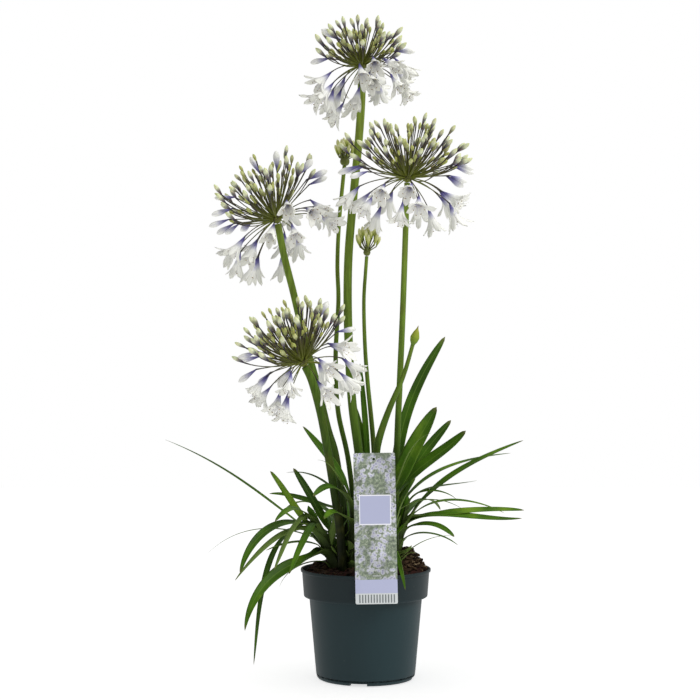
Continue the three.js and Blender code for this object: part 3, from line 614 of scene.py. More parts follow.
def new_material(name, **constants):
    """A material with one Principled shader, whose even values sit on its own sockets."""
    material = bpy.data.materials.new(name)
    material.use_nodes = True
    tree = material.node_tree
    shader = tree.nodes["Principled BSDF"]
    wire(shader, {socket.replace("_", " "): value for socket, value in constants.items()})
    return material, tree, shader


def polypropylene(colours):
    """Moulded polypropylene: a satin sheen, cloudy flow marks, painted shade above the shoulder, a
    little dust and a fine grain.
    """
    material, tree, shader = new_material("Moulded polypropylene", IOR=1.49, Specular_IOR_Level=0.25)
    where = add(tree, "TexCoord").outputs["Object"]
    height = add(tree, "SeparateXYZ", [where]).outputs[2]
    # Painted shade: above the shoulder the pot is painted darker than the body, though its plastic is
    # the same.
    painted_collar_shade = add(tree, "MapRange", [height, 0.105, 0.11, 1, 0.55])
    flow = add(tree, "Mapping", {"Vector": where, "Scale": (1, 1, 0.25)})
    cloud = add(tree, "TexNoise", {"Vector": flow, "Scale": 40, "Detail": 3})
    tint = add(tree, "MapRange", [cloud, 0, 1, 0.86, 1.14])
    both = add(tree, "Math", [tint, painted_collar_shade], operation="MULTIPLY")
    shade = add(tree, "Mix", {0: 1.0, 6: colours.plastic, 7: both}, blend_type="MULTIPLY")
    dust = add(tree, "TexNoise", {"Vector": where, "Scale": 240, "Detail": 5, "Roughness": 0.7})
    specks = add(tree, "MapRange", [dust, 0.62, 0.8, 0, 0.12])
    dusty = add(tree, "Mix", {0: specks, 6: shade, 7: "#6d6f68"})
    gloss = add(tree, "MapRange", [cloud, 0, 1, 0.44, 0.58])
    grain = add(tree, "TexNoise", {"Vector": where, "Scale": 1400, "Detail": 2})  # 0.7 mm grain
    bump = add(tree, "Bump", {"Height": grain, "Strength": 0.12, "Distance": 0.0002})
    wire(shader, {"Base Color": dusty, "Roughness": gloss, "Normal": bump})
    return material


def earth(name, dark, middle, light, grain):
    """Peat or bark: dull, fibrous, in browns that change from crumb to crumb."""
    material, tree, shader = new_material(name, Roughness=0.95, IOR=1.4, Specular_IOR_Level=0.25)
    where = add(tree, "TexCoord").outputs["Object"]
    tone = add(tree, "Attribute", attribute_name="tone").outputs["Fac"]
    crumbs = add(tree, "TexVoronoi", {"Vector": where, "Scale": 1 / grain}).outputs["Color"]
    patch = add(tree, "TexNoise", {"Vector": where, "Scale": 90, "Detail": 6, "Roughness": 0.7})
    mixed = add(tree, "Math", [crumbs, patch], operation="MULTIPLY")
    share = add(tree, "Math", [mixed, tone], operation="ADD")
    ramp = add(tree, "ValToRGB", {"Fac": share}, [(0.1, dark), (0.6, middle), (0.95, light)])
    fibre = add(tree, "TexNoise", {"Vector": where, "Scale": 900, "Detail": 4})
    bump = add(tree, "Bump", {"Height": fibre, "Strength": 0.6, "Distance": 0.0008})
    wire(shader, {"Base Color": ramp, "Normal": bump})
    return material


def printed_plastic(colours):
    """Printed PVC sheet: smooth, a little glossy, a soft picture of blooms over a plain panel and foot.

    U covers the front from 0 to a half, and V runs up the label. Each printed field is where U and V
    both lie within half its width and height of its middle.
    """
    gloss = {"Roughness": 0.32, "IOR": 1.53, "Specular_IOR_Level": 0.4}
    material, tree, shader = new_material("Printed PVC sheet", **gloss)
    uv = add(tree, "UVMap", uv_map="UVMap")
    flat = add(tree, "SeparateXYZ", [uv])
    # Scaled so, one unit of the UV is a millimetre of the front.
    true = add(tree, "Mapping", {"Vector": uv, "Scale": (2 * LABEL["width"], LABEL["height"], 1)})
    foliage = add(tree, "TexNoise", {"Vector": true, "Scale": 0.3, "Detail": 8, "Roughness": 0.7})
    greens = [(0.36, "#444d44"), (0.5, colours.leaf), (0.66, "#b4bca4")]
    field = add(tree, "ValToRGB", {"Fac": foliage}, greens)
    # Blooms stand in loose heads about 20 mm wide, 4 mm apart, with ragged petals.
    heads = add(tree, "TexNoise", {"Vector": true, "Scale": 0.05, "Detail": 2})
    headed = add(tree, "MapRange", [heads, 0.42, 0.52])
    blooms = add(tree, "TexVoronoi", {"Vector": true, "Scale": 0.24, "Randomness": 1.0})
    rays = add(tree, "TexNoise", {"Vector": true, "Scale": 1.1, "Detail": 4, "Roughness": 0.8})
    edge = add(tree, "Math", [blooms, rays], operation="MULTIPLY")
    violets = [(0.03, colours.bloom), (0.2, "#c9cadb"), (0.3, "#eeeef2")]
    heart = add(tree, "ValToRGB", {"Fac": edge}, violets)
    ragged = add(tree, "MapRange", [edge, 0.34, 0.24])
    petals = add(tree, "Math", [ragged, headed], operation="MULTIPLY")
    whole = add(tree, "Mix", {0: petals, 6: field, 7: heart})
    # Soft light and shade lie over the picture in patches about 30 mm wide.
    shade = add(tree, "TexNoise", {"Vector": true, "Scale": 0.035, "Detail": 1})
    lit = add(tree, "MapRange", [shade, 0.35, 0.65, 0.72, 1.08])
    picture = add(tree, "Mix", {0: 1.0, 6: whole, 7: lit}, blend_type="MULTIPLY")
    artwork = add(tree, "Mix", {0: 0.1, 6: picture, 7: colours.paper})
    stripe = add(tree, "Math", [flat.outputs[0], 0.017], operation="PINGPONG")
    lines = add(tree, "Math", [stripe, 0.009], operation="GREATER_THAN")
    bars = add(tree, "Mix", {0: lines, 6: colours.paper, 7: "#73797a"})
    # The panel's edge, the panel, the band at the foot, its plain part, the bars and the back.
    fields = [
        (0.25, 0.19, 0.62, 0.1, "#f4f4fa"), (0.25, 0.18, 0.62, 0.093, colours.panel),
        (0.25, 0.26, 0.08, 0.08, colours.panel), (0.25, 0.26, 0.035, 0.035, colours.paper),
        (0.25, 0.22, 0.035, 0.027, bars), (0.75, 0.2499, 0.5, 0.51, colours.paper),
    ]
    for at_u, half_u, at_v, half_v, ink in fields:
        wide = add(tree, "Math", [flat.outputs[0], at_u, half_u], operation="COMPARE")
        high = add(tree, "Math", [flat.outputs[1], at_v, half_v], operation="COMPARE")
        inside = add(tree, "Math", [wide, high], operation="MULTIPLY")
        artwork = add(tree, "Mix", {0: inside, 6: artwork, 7: ink})
    wire(shader, {"Base Color": artwork})
    return material


def stem_skin(colours):
    """Living stem: waxy green that pales upwards, with fine long streaks, and painted shade that darkens
    it near the soil; the tone deepens that shade on some stalks.
    """
    material, tree, shader = new_material("Waxy stem", IOR=1.42, Roughness=0.5, Specular_IOR_Level=0.16)
    where = add(tree, "TexCoord").outputs["Object"]
    height = add(tree, "SeparateXYZ", [where]).outputs[2]
    share = add(tree, "MapRange", [height, 0.14, 0.75])
    tone = add(tree, "Attribute", attribute_name="tone").outputs["Fac"]
    shaded = add(tree, "Math", [share, tone], operation="ADD")
    # The paling upwards is the stalk's own green; the near-black stops at the foot are painted shade
    # among the leaves.
    greens = [(0, "#131a06"), (0.1, colours.low), (0.26, "#405a17"), (0.4, colours.middle),
              (1, colours.high)]
    shades = add(tree, "ValToRGB", {"Fac": shaded}, greens)
    long = add(tree, "Mapping", {"Vector": where, "Scale": (1, 1, 0.05)})
    streak = add(tree, "TexNoise", {"Vector": long, "Scale": 330, "Detail": 4})  # 3 mm streaks
    spots = add(tree, "TexNoise", {"Vector": where, "Scale": 45, "Detail": 3})
    tint = add(tree, "MapRange", [streak, 0.25, 0.75, 0.62, 1.38])
    streaked = add(tree, "Mix", {0: 1.0, 6: shades, 7: tint}, blend_type="MULTIPLY")
    worn = add(tree, "MapRange", [spots, 0.5, 0.75, 0, 0.4])
    mottled = add(tree, "Mix", {0: worn, 6: streaked, 7: "#5c5c24"})
    bump = add(tree, "Bump", {"Height": streak, "Strength": 0.25, "Distance": 0.0003})
    wire(shader, {"Base Color": mottled, "Normal": bump})
    return material


def leaf_skin(colours):
    """Living leaf: waxy green above, dull and pale below, with a midrib, long veins and a dry tip, and
    painted light: highlights on the edges and in patches, and shade at the foot.
    """
    material, tree, shader = new_material("Waxy strap leaf", IOR=1.42, Specular_IOR_Level=0.2)
    uv = add(tree, "UVMap", uv_map="UVMap")
    flat = add(tree, "SeparateXYZ", [uv])
    u, v = flat.outputs[0], flat.outputs[1]
    where = add(tree, "TexCoord").outputs["Object"]
    tone = add(tree, "Attribute", attribute_name="tone").outputs["Fac"]
    # U goes round the section: the upper face is its first half, and both midribs lie a quarter in.
    across = add(tree, "Math", [u, 0.25], operation="PINGPONG")
    lower = add(tree, "Math", [u, 0.5], operation="GREATER_THAN")
    # Random patches vary the upper face from dark to mid green, and its lightest stop, a yellow-green,
    # is a painted highlight; each leaf's tone shifts the patches.
    patch = add(tree, "TexNoise", {"Vector": where, "Scale": 26, "Detail": 4})
    depth = add(tree, "Math", [patch, tone], operation="ADD")
    share = add(tree, "MapRange", [depth, 0.22, 0.78])
    greens = [(0.0, "#6f8f22"), (0.42, colours.upper), (1.0, colours.dark)]
    top = add(tree, "ValToRGB", {"Fac": share}, greens)
    veins = add(tree, "Mapping", {"Vector": uv, "Scale": (70, 1.5, 1)})
    vein = add(tree, "TexNoise", {"Vector": veins, "Scale": 1.0, "Detail": 2})
    tint = add(tree, "MapRange", [vein, 0, 1, 0.72, 1.26])
    faces = add(tree, "Mix", {0: lower, 6: top, 7: colours.under})
    veined = add(tree, "Mix", {0: 1.0, 6: faces, 7: tint}, blend_type="MULTIPLY")
    rib = add(tree, "MapRange", [across, 0.225, 0.25, 0, 0.35])
    ribbed = add(tree, "Mix", {0: rib, 6: veined, 7: "#7f9c40"})
    # Painted highlight: the edges of each face are paled, as where light catches them.
    rim = add(tree, "MapRange", [across, 0.03, 0.0, 0, 0.3])
    edge_highlighted = add(tree, "Mix", {0: rim, 6: ribbed, 7: "#93a84f"})
    # The sheath takes the first 0.15 of V, and is darkened towards the soil as painted shade among the
    # leaf bases.
    painted_foot_shade = [(0.05, "#171c0a"), (0.15, colours.foot), (0.3, "#34500f")]
    sheath = add(tree, "ValToRGB", {"Fac": v}, painted_foot_shade)
    held = add(tree, "MapRange", [v, 0.3, 0.13, 0, 0.9])
    foot_shaded = add(tree, "Mix", {0: held, 6: edge_highlighted, 7: sheath})
    dry = add(tree, "MapRange", [v, 0.95, 1.0, 0, 0.75])
    tipped = add(tree, "Mix", {0: dry, 6: foot_shaded, 7: "#6f6440"})
    gloss = add(tree, "MapRange", [lower, 0, 1, 0.4, 0.62])
    bump = add(tree, "Bump", {"Height": vein, "Strength": 0.3, "Distance": 0.0003})
    wire(shader, {"Base Color": tipped, "Roughness": gloss, "Normal": bump})
    return material


def along_colours(name, stops, young=None, streaks=0.1, **constants):
    """Plant tissue whose colour runs along it, finely streaked; a low tone brings the young colour."""
    material, tree, shader = new_material(name, IOR=1.4, Roughness=0.5, **constants)
    uv = add(tree, "UVMap", uv_map="UVMap")
    flat = add(tree, "SeparateXYZ", [uv])
    tone = add(tree, "Attribute", attribute_name="tone").outputs["Fac"]
    shift = add(tree, "MapRange", [tone, 0, 1, 0.04, -0.04])
    at = add(tree, "Math", [flat.outputs[1], shift], operation="ADD")
    shade = add(tree, "ValToRGB", {"Fac": at}, stops)
    if young is not None:
        grown = add(tree, "MapRange", [tone, 0.1, 0.75])
        shade = add(tree, "Mix", {0: grown, 6: young, 7: shade})
    stretched = add(tree, "Mapping", {"Vector": uv, "Scale": (14, 1.5, 1)})
    streak = add(tree, "TexNoise", {"Vector": stretched, "Scale": 1.0, "Detail": 2})
    tint = add(tree, "MapRange", [streak, 0, 1, 1 - streaks, 1 + streaks])
    shade = add(tree, "Mix", {0: 1.0, 6: shade, 7: tint}, blend_type="MULTIPLY")
    wire(shader, {"Base Color": shade})
    return material, tree, shader, flat, shade


def bud_skin(colours):
    """Closed florets: matt, violet-grey at the foot, then pale, and yellow-green while young."""
    stops = [(0.0, "#201e26"), (0.16, "#363349"), (0.38, "#7f8078"),
             (0.58, colours.pale), (0.82, "#d8dda9"), (1.0, "#adb55f")]
    return along_colours("Bud skin", stops, colours.green, 0.22, Subsurface_Weight=0.05)[0]


def petal_skin(name, tube, colours):
    """Petals: thin and soft, white past their tube's colours, with a faint violet line down each."""
    stops = [*tube, (0.45, colours.white), (1.0, "#f3f3ea")]
    soft = {"Subsurface_Weight": 0.12, "Sheen_Weight": 0.1}
    material, tree, shader, flat, shade = along_colours(name, stops, None, 0.05, **soft)
    wire(shader, {"Subsurface Radius": (0.0016, 0.0016, 0.0016)})
    middle = add(tree, "Math", [flat.outputs[0], 0.5], operation="PINGPONG")
    line = add(tree, "MapRange", [middle, 0.42, 0.5, 0, 0.3])
    fade = add(tree, "MapRange", [flat.outputs[1], 0.85, 0.4])
    share = add(tree, "Math", [line, fade], operation="MULTIPLY")
    wire(shader, {"Base Color": add(tree, "Mix", {0: share, 6: shade, 7: "#a5a1cf"})})
    return material


def pedicel_skin():
    """Floret stalks: green at the hub, dull purple-brown further out."""
    stops = [(0.0, "#838c2c"), (0.35, "#676c28"), (0.68, "#48431f"), (1.0, "#2c2626")]
    return along_colours("Floret stalk", stops, None, 0.15)[0]


def anther_skin():
    """Stamens: white filaments that end in ochre anthers, told apart by their tone."""
    material, tree, shader = new_material("Stamen", IOR=1.4, Roughness=0.55)
    tone = add(tree, "Attribute", attribute_name="tone").outputs["Fac"]
    where = add(tree, "TexCoord").outputs["Object"]
    dust = add(tree, "TexNoise", {"Vector": where, "Scale": 1800})
    pollen = add(tree, "Mix", {0: dust, 6: "#7d6c55", 7: "#b9a56c"})
    wire(shader, {"Base Color": add(tree, "Mix", {0: tone, 6: "#dedbe8", 7: pollen})})
    return material


def seamless_paper(colours):
    """Seamless background paper: matt and near white, with the faintest mottle."""
    glow = {"Emission_Strength": 0.66, "Emission_Color": (1, 1, 1)}
    material, tree, shader = new_material("Seamless paper", Roughness=0.9, **glow)
    where = add(tree, "TexCoord").outputs["Object"]
    mottle = add(tree, "TexNoise", {"Vector": where, "Scale": 6})
    tint = add(tree, "MapRange", [mottle, 0, 1, 0.99, 1.0])
    mottled = add(tree, "Mix", {0: 1.0, 6: colours.floor, 7: tint}, blend_type="MULTIPLY")
    wire(shader, {"Base Color": mottled})
    return material


# ---- Pot, soil and label -----------------------------------------------------------------------


def pot_inside(z):
    """Inner radius of the pot at a height: one cone below the shoulder and a wider one above it."""
    low = mix(POT["foot"], POT["neck"], z / POT["shoulder"])
    high = mix(POT["band_foot"], POT["band_top"], (z - POT["shoulder"]) / (LEVEL - POT["shoulder"]))
    return np.where(z >= POT["shoulder"], high, low) - bpy.context.scene.agapanthus_pot.wall / MM


def pot_shape(settings):
    """The pot's profile turned about Z, with the foot ring raised where a drain notch passes."""
    height, rim, wall = settings.height / MM, settings.rim / MM, settings.wall / MM
    foot, corner, floor, shoulder = POT["foot"], POT["corner"], POT["floor"], POT["shoulder"]
    inner = foot - corner - POT["ring"]
    lip = height - POT["lip"]
    profile = turned([  # from the axis below, out and up, and back down inside to the axis
        (0, 0, 0), (POT["pad"], 0, 0.5), (POT["pad"] + 2, floor, 0.5), (inner, floor, 0.5),
        (inner + 1, 0, 0.4), (foot - 1.2, 0, 4.2), (foot + 0.3, corner + 3, 2),
        (POT["neck"], shoulder - 0.6, 0.5), (POT["band_foot"], shoulder, 1.3),
        (POT["band_top"], lip, 0.4), (rim, lip + 0.6, 0.5), (rim, height, 0.8),
        (rim - 2.6, height, 0.6), (POT["band_top"] - wall, lip, 1),
        (POT["band_foot"] - wall, shoulder + 2.4, 0.5), (POT["neck"] - wall, shoulder + 0.8, 0.5),
        (foot - wall, floor + wall, 2), (0, floor + wall, 0)])
    notches = math.radians(NOTCH["at"]) + circle(NOTCH["count"])
    half = math.asin(NOTCH["width"] / 2 / foot)
    edges = (notches[:, None] + np.array([-1.004, -1, 1, 1.004]) * half).ravel()
    angles = np.sort(np.concatenate([circle(180), edges]) % (2 * math.pi))
    shape = lathe(profile, angles)
    x, y, z = shape.points.T
    aside = np.abs((np.arctan2(y, x)[:, None] - notches + math.pi) % (2 * math.pi) - math.pi).min(1)
    raised = (aside < half * 1.002) & (np.hypot(x, y) > inner) & (z < NOTCH["height"])
    shape.points[raised, 2] = NOTCH["height"]
    return shape


def soil_top(x, y):
    """Height of the soil: a low dome, heaps that fall off as bell curves, and crumbs as sines."""
    r = np.hypot(x, y) / pot_inside(SOIL["edge"])
    heap = sum(h * np.exp(-((x - cx) ** 2 + (y - cy) ** 2) / reach**2) for cx, cy, h, reach in HEAPS)
    crumbs = SOIL["ripple"] * np.sin(x * 0.31 + 1) * np.cos(y * 0.27 - x * 0.11)
    return SOIL["edge"] + SOIL["crown"] * (1 - r * r) + heap * (1 - np.clip(r, 0, 1) ** 8) + crumbs


def soil_shape(crumb):
    """Soil from the pot's floor to its crumbly top: rings outwards below, inwards above.

    The top adds three sizes of smooth noise, each half as high as the last, faded out at the wall.
    The rings start and end at a pinhole on the axis, which a face closes.
    """
    pinhole = 0.05
    angles = circle(220)
    under = POT["floor"] + bpy.context.scene.agapanthus_pot.wall / MM + 0.4
    edge = pot_inside(SOIL["edge"]) - SOIL["gap"]
    low = np.array([(pinhole, under), (pot_inside(under) - SOIL["gap"], under),
                    (POT["neck"] - 2.4, POT["shoulder"] + 1.2),
                    (POT["band_foot"] - 2.4, POT["shoulder"] + 3.2)])
    radii = np.concatenate([low[:, 0], np.linspace(edge, pinhole, 62)])
    x, y, _ = np.moveaxis(about_z(radii[:, None], angles, 0), -1, 0)
    rough = sum(lattice(x / s, y / s, 7 + s) / n for n, s in ((1, 5.5), (2, 2.7), (4, 1.4))) - 0.87
    z = soil_top(x, y) + crumb * 1.6 * rough * (1 - smooth(np.hypot(x, y), edge - 3, edge))
    z[4] -= 1.5
    z[:4] = low[:, 1, None]
    return closed_grid(np.stack([x, y, z], -1))


def chips_shape(count, size):
    """Loose bark: rings of seven points, four high, long, flat and uneven, laid on the soil by draws."""
    kinds = []
    for kind in range(4):
        number = np.arange(28).reshape(4, 7)
        angle = circle(7) + jitter(number, 81 + kind, 0.3)
        radius = np.array([0.72, 1, 0.95, 0.6])[:, None] * (1 + jitter(number, 85 + kind, 0.22))
        height = np.array([-1, -0.45, 0.5, 1])[:, None] + jitter(number, 90 + kind, 0.18)
        kinds.append(closed_grid(about_z(radius, angle, height) * (1, 0.55, 0.26)))
    number = np.arange(count)
    heaped = draw(number, 21) < BARK["heaped"]
    far = np.sqrt(draw(number, 22)) * np.where(heaped, BARK["reach"], BARK["rest"])
    spot = about_z(far, draw(number, 23) * 2 * math.pi, 0)[:, :2] + heaped[:, None] * BARK["heap"]
    spot *= np.minimum(1, BARK["limit"] / np.maximum(np.hypot(*spot.T), 1))[:, None]
    scale = size * (0.45 + 0.9 * draw(number, 24) ** 1.5)
    spin, tip, roll = draw(number, 25) * 2 * math.pi, jitter(number, 26, 0.5), jitter(number, 27, 0.5)
    long = about_z(np.cos(tip), spin, np.sin(tip))
    wide = unit(np.cross(UP, long) + UP * np.sin(roll)[:, None])
    frames = np.stack([long, wide, np.cross(long, wide)], -1) * scale[:, None, None]
    origins = np.column_stack([spot, soil_top(*spot.T) + scale * 0.12])
    tone = mix(-0.2, np.where(heaped, 0.55, 0.2), draw(number, 28))
    groups = [number % 4 == kind for kind in range(4)]
    return join([repeat(kinds[k], frames[g], origins[g], tone[g]) for k, g in enumerate(groups)])


def label_front():
    """The plane in front of the rim where the label hangs."""
    return -bpy.context.scene.agapanthus_pot.rim / MM - CLEARANCE


def plate_shape():
    """The label's plate: a thin section carried up its height with rounded ends, leaning on the rim.

    The plate bows back a little between its ends, as half a sine.
    """
    width, height, thick, corner = (LABEL[k] for k in ("width", "height", "thick", "corner"))
    rounded = corner * (1 - np.cos(np.linspace(0, math.pi / 2, 5)))
    straight = np.linspace(corner, height - corner, 22)[1:-1]
    up = np.concatenate([rounded, straight, height - rounded[::-1]])
    end = corner - np.minimum(np.minimum(up, height - up), corner)
    half = width / 2 - corner + np.sqrt(corner**2 - end**2)
    s = np.arange(20) / 20
    a = np.where(s < 0.5, -1 + 4 * s, 3 - 4 * s)
    side = np.where(s < 0.5, 0.5, -0.5) * (1 - a**8)
    x = half[:, None] * a
    y = 0.5 * np.sin(math.pi * up / height)[:, None] - thick * side
    z = up[:, None]
    x, z = x * math.cos(SWAY) + z * math.sin(SWAY), z * math.cos(SWAY) - x * math.sin(SWAY)
    y, z = y * math.cos(LEAN) + z * math.sin(LEAN), z * math.cos(LEAN) - y * math.sin(LEAN)
    slope = math.tan(LEAN) * (LEVEL - LABEL["foot"])
    foot = np.array([LABEL["x"], label_front() - slope - thick / 2, LABEL["foot"]])
    return closed_grid(np.stack([x, y, z], -1) + foot, v_at=up / height)


def tongue_shape():
    """The label's tongue: a flat strip that passes over the rim, bends down and hangs inside."""
    over, reach = LEVEL + CLEARANCE + LABEL["thick"] / 2, HOOK["reach"]
    knee = np.array([(reach - HOOK["bend"], over), (reach, over), (reach, over - HOOK["bend"])])
    path = np.vstack([[-0.4, over + 0.4], [1.5, over + 0.1], bend(*knee, np.linspace(0, 1, 6)[:, None]),
                      [reach, over - HOOK["drop"]]])
    along = unit(np.gradient(path, axis=0))
    out = np.stack([-along[:, 1], along[:, 0]], -1) * LABEL["thick"] / 2
    half = HOOK["width"] / 2
    ring = [np.column_stack([np.full(len(path), LABEL["x"] + x), path + side * out])
            for x, side in ((-half, 1), (half, 1), (half, -1), (-half, -1))]
    tongue = closed_grid(np.stack(ring, 1) + (0, label_front(), 0))
    tongue.uvs = [uv * 0 + 0.75 for uv in tongue.uvs]
    return tongue


def punch_shape():
    """A short drill across the plate, for the punched hole."""
    x, down, radius = PUNCH
    up = LABEL["height"] - down
    y = label_front() + math.tan(LEAN) * (LABEL["foot"] - LEVEL)
    foot = np.array([LABEL["x"] + x, y, LABEL["foot"]])
    centre = foot + up * np.array([math.sin(SWAY), math.sin(LEAN), math.cos(LEAN)])
    across = np.array([0, math.cos(LEAN), -math.sin(LEAN)])
    line = centre + across * np.array([-4, 0, 4])[:, None]
    return tubes(line[None], radius, 20, np.array([[1.0, 0, 0]]))


# ---- Stalks and florets ------------------------------------------------------------------------


def stalk_shape(name, sides=26, rows=72):
    """A faintly ribbed round section along a stalk's line, slimming by the smooth step.

    Two rings below the line carry it straight down into the soil.
    """
    foot, tip, route = STALKS[name]
    line = through(route, rows)
    slim = mix(foot, tip, smooth(np.linspace(0, 1, rows), SLIM_FROM.get(name, 0), 1))
    line = np.vstack([line[0] - [0, 0, SOCKET], line[0] - [0, 0, 3], line])
    radius = np.concatenate([[foot, foot], slim])[:, None] * (1 + 0.018 * np.cos(circle(sides) * 9))
    # Painted shade: a listed stalk is darkened below about 400 mm, among the leaves.
    tone = SHADED.get(name, 0) * (1 - smooth(line[:, 2], 350, 450))
    return tubes(line[None], radius[None], sides, BACK[None], np.repeat(tone, sides))


def seat_of(name, core):
    """Where a head's hub sits: past the tip of its stalk by the core's radius and the clearance."""
    line = through(STALKS[name][2], 400)
    axis = unit(line[-1] - line[-2])
    return axis, line[-1] + axis * (core + CLEARANCE)


def neighbours_of(name):
    """Points along every other stalk, with its radius."""
    others = {other: stalk for other, stalk in STALKS.items() if other != name}
    points = [through(route, 61) for _, _, route in others.values()]
    return np.concatenate(points), np.repeat([foot for foot, _, _ in others.values()], 61)


def floret_at(hub, pole, angle, turn, kind, length):
    """A floret's end and heading, from its angle to the pole and its turn about it."""
    right = unit(np.cross(BACK, pole))
    out = right * math.cos(turn) + np.cross(pole, right) * math.sin(turn)
    towards = pole * math.cos(angle) + out * math.sin(angle)
    level = math.hypot(towards[0], towards[1])
    end = hub + towards * length + UP * (kind["lift"] * level - kind["drop"])
    heading = unit(towards + UP * (kind["rise"] * level - kind["nod"]))
    side = unit(np.cross(towards, UP)) if level > 0.1 else np.array([1.0, 0, 0])
    return end, heading, towards, side


def is_clear(end, heading, hub, kind, points, radii):
    """Whether a floret's stalk and its middle both stay away from every neighbouring stalk."""
    path = end - hub
    share = np.clip((points - hub) @ path / (path @ path), 0, 1)
    stalk = np.linalg.norm(points - hub - share[:, None] * path, axis=1)
    middle = np.linalg.norm(points - end - heading * kind["reach"], axis=1)
    return np.all(stalk > radii + SPARE) and np.all(middle > radii + SPARE + kind["half"])


def spiral(head, top, bottom, count):
    """Places on an even spiral: angles from the pole, whose cosines fall evenly, and turns about it."""
    number = np.arange(count)
    cosine = mix(math.cos(math.radians(top)), math.cos(math.radians(bottom)), (number + 0.5) / count)
    return np.stack([np.degrees(np.arccos(cosine)), number * GOLDEN + head["turn"]], -1)


def florets_of(name, kind_name, places, length):
    """Florets at places round their pole, each turned aside where another head's stalk passes.

    Draws stray them a little. A stalk is as long as length says, times crown at the very top.
    """
    head, kind = UMBELS[name], KINDS[kind_name]
    sign, lean = (-1, head["lean"]) if kind_name == "flower" else (1, head["tilt"])
    lean = math.radians(lean)
    pole = sign * np.array([-math.sin(lean), 0, math.cos(lean)])
    hub = seat_of(name, CORE)[1]
    points, radii = neighbours_of(name)
    rows = []
    for number, (polar, about) in enumerate(places):
        key = number + kind["key"]
        angle = math.radians(polar + jitter(key, head["seed"], STRAY))
        turn = math.radians(about + jitter(key, head["seed"] + 1, TWIST))
        crown = mix(1, head["crown"], max(0, sign * math.cos(angle)))
        long = length * crown * (1 + jitter(key, head["seed"] + 2, kind["varied"]))
        row = floret_at(hub, pole, angle, turn, kind, long)
        for shift in range(1, TRIES):
            if is_clear(row[0], row[1], hub, kind, points, radii):
                break
            aside = (1 if shift % 2 else -1) * math.ceil(shift / 2) * math.radians(ASIDE)
            row = floret_at(hub, pole, angle, turn + aside, kind, long)
        rows.append(row)
    end, heading, towards, side = (np.array(x) for x in zip(*rows))
    number = np.arange(len(rows))
    stray = [jitter(number, 61 + axis + head["seed"], kind["loose"]) for axis in range(3)]
    heading = unit(heading + np.stack(stray, -1))
    return {"foot": np.tile(hub, (len(rows), 1)), "end": end, "heading": heading,
            "towards": towards, "side": side, "share": (number + 0.5) / len(rows),
            "number": number, "sag": np.full(len(rows), kind["sag"])}


def set_on(florets, shape, tones, sizes=((1, 1), (1, 1)), grown=0.0, sunk=SUNK):
    """A shape on the end of each floret's stalk, along its heading, with its tone.

    It is sunk into the stalk's end, and its width and length run from small to large as it is grown.
    """
    v = unit(np.cross(florets["heading"], florets["side"]))
    u = np.cross(v, florets["heading"])
    wide, long = (np.broadcast_to(mix(*ends, grown), len(u))[:, None] for ends in sizes)
    frames = np.stack([u * wide, v * wide, florets["heading"] * long], -1)
    return repeat(shape, frames, florets["end"] - florets["heading"] * sunk, tones)


def pedicels(florets, steps=9, sides=5):
    """The florets' stalks: quadratic curves that leave the hub straight and swell at the floret."""
    foot, end, towards = (florets[k][:, None] for k in ("foot", "end", "towards"))
    far = np.linalg.norm(end - foot, axis=-1, keepdims=True)
    level = np.hypot(towards[..., 0], towards[..., 1])[..., None] * florets["sag"][:, None, None]
    t = np.linspace(0, 1, steps)[:, None]
    lines = bend(foot + towards * 3, foot + towards * far * 0.6 + UP * level, end, t)
    tone = np.repeat(draw(florets["number"], 31), steps * sides)
    radii = PEDICEL["root"] - PEDICEL["slims"] * t + PEDICEL["swells"] * t**9
    return tubes(lines, radii, sides, florets["side"], tone)


def bud_shape():
    """A closed floret, one unit long and wide: six faint ridges, widest at two thirds of its length."""
    along = np.array([0, 0.14, 0.32, 0.5, 0.66, 0.82, 0.93, 1])
    wide = np.array([0.24, 0.42, 0.68, 0.92, 1.0, 0.82, 0.48, 0.14])
    return closed_grid(about_z(wide[:, None], circle(6), along[:, None]))


def perianth_shape(flare, rise, fall, seed, rows=15, columns=5):
    """Six petals that are one tube at the foot, as six sectors with a grid across and along each.

    Up to the throat the radius grows as a power of the height. Past it the radius grows by flare
    times q to the 1.32, the height by the petal's length times rise q less fall q squared, and the
    half width opens by the smooth step and closes as a blunt root. Sections are cupped as a square,
    and each petal turns aside, curls and waves a little by draws.
    """
    v, a = np.linspace(0, 1, rows)[:, None], np.linspace(-1, 1, columns)
    throat, opens = FLOWER["throat"], FLOWER["opens"]
    q, s = np.clip((v - opens) / (1 - opens), 0, 1), np.clip(v / opens, 0, 1)
    sector = np.arange(6)[:, None, None]
    long = FLOWER["petal"] * (1 + jitter(sector, seed, 0.15))
    radius = mix(0.9, throat, s**1.25) + flare * q**1.32 + 0.4 * (sector % 2) * smooth(q, 0, 0.2)
    height = (FLOWER["tube"] + 1) * s - 1 + long * (rise * q - fall * q**2)
    close = np.sqrt(1 - np.clip((q - 0.5) / 0.5, 0, 1) ** 2.4)
    full = FLOWER["width"] / 2 * (1 + jitter(sector, seed + 1, 0.1) - 0.09 * (sector % 2))
    half = np.where(q > 0, mix(throat / 2, full, smooth(q, 0, 0.5)) * close + 0.12, radius / 2)
    cup = np.where(q > 0, mix(0.134 * throat, 1.1, q), 0.134 * radius)
    wave = 0.8 * np.sin(8 * q + sector * 2.1 + seed + 1.5 * a) * smooth(q, 0.1, 0.5) * a**2
    angle = np.radians(30 + 60 * sector + jitter(sector, seed + 2, 7) * smooth(q, 0.1, 0.6))
    curl = flare * jitter(sector, seed + 3, 0.3) * q**2
    out, across = radius + curl - cup * a**2, half * a
    points = np.stack([out * np.cos(angle) - across * np.sin(angle),
                       out * np.sin(angle) + across * np.cos(angle), height + wave], -1)
    return grid(points)


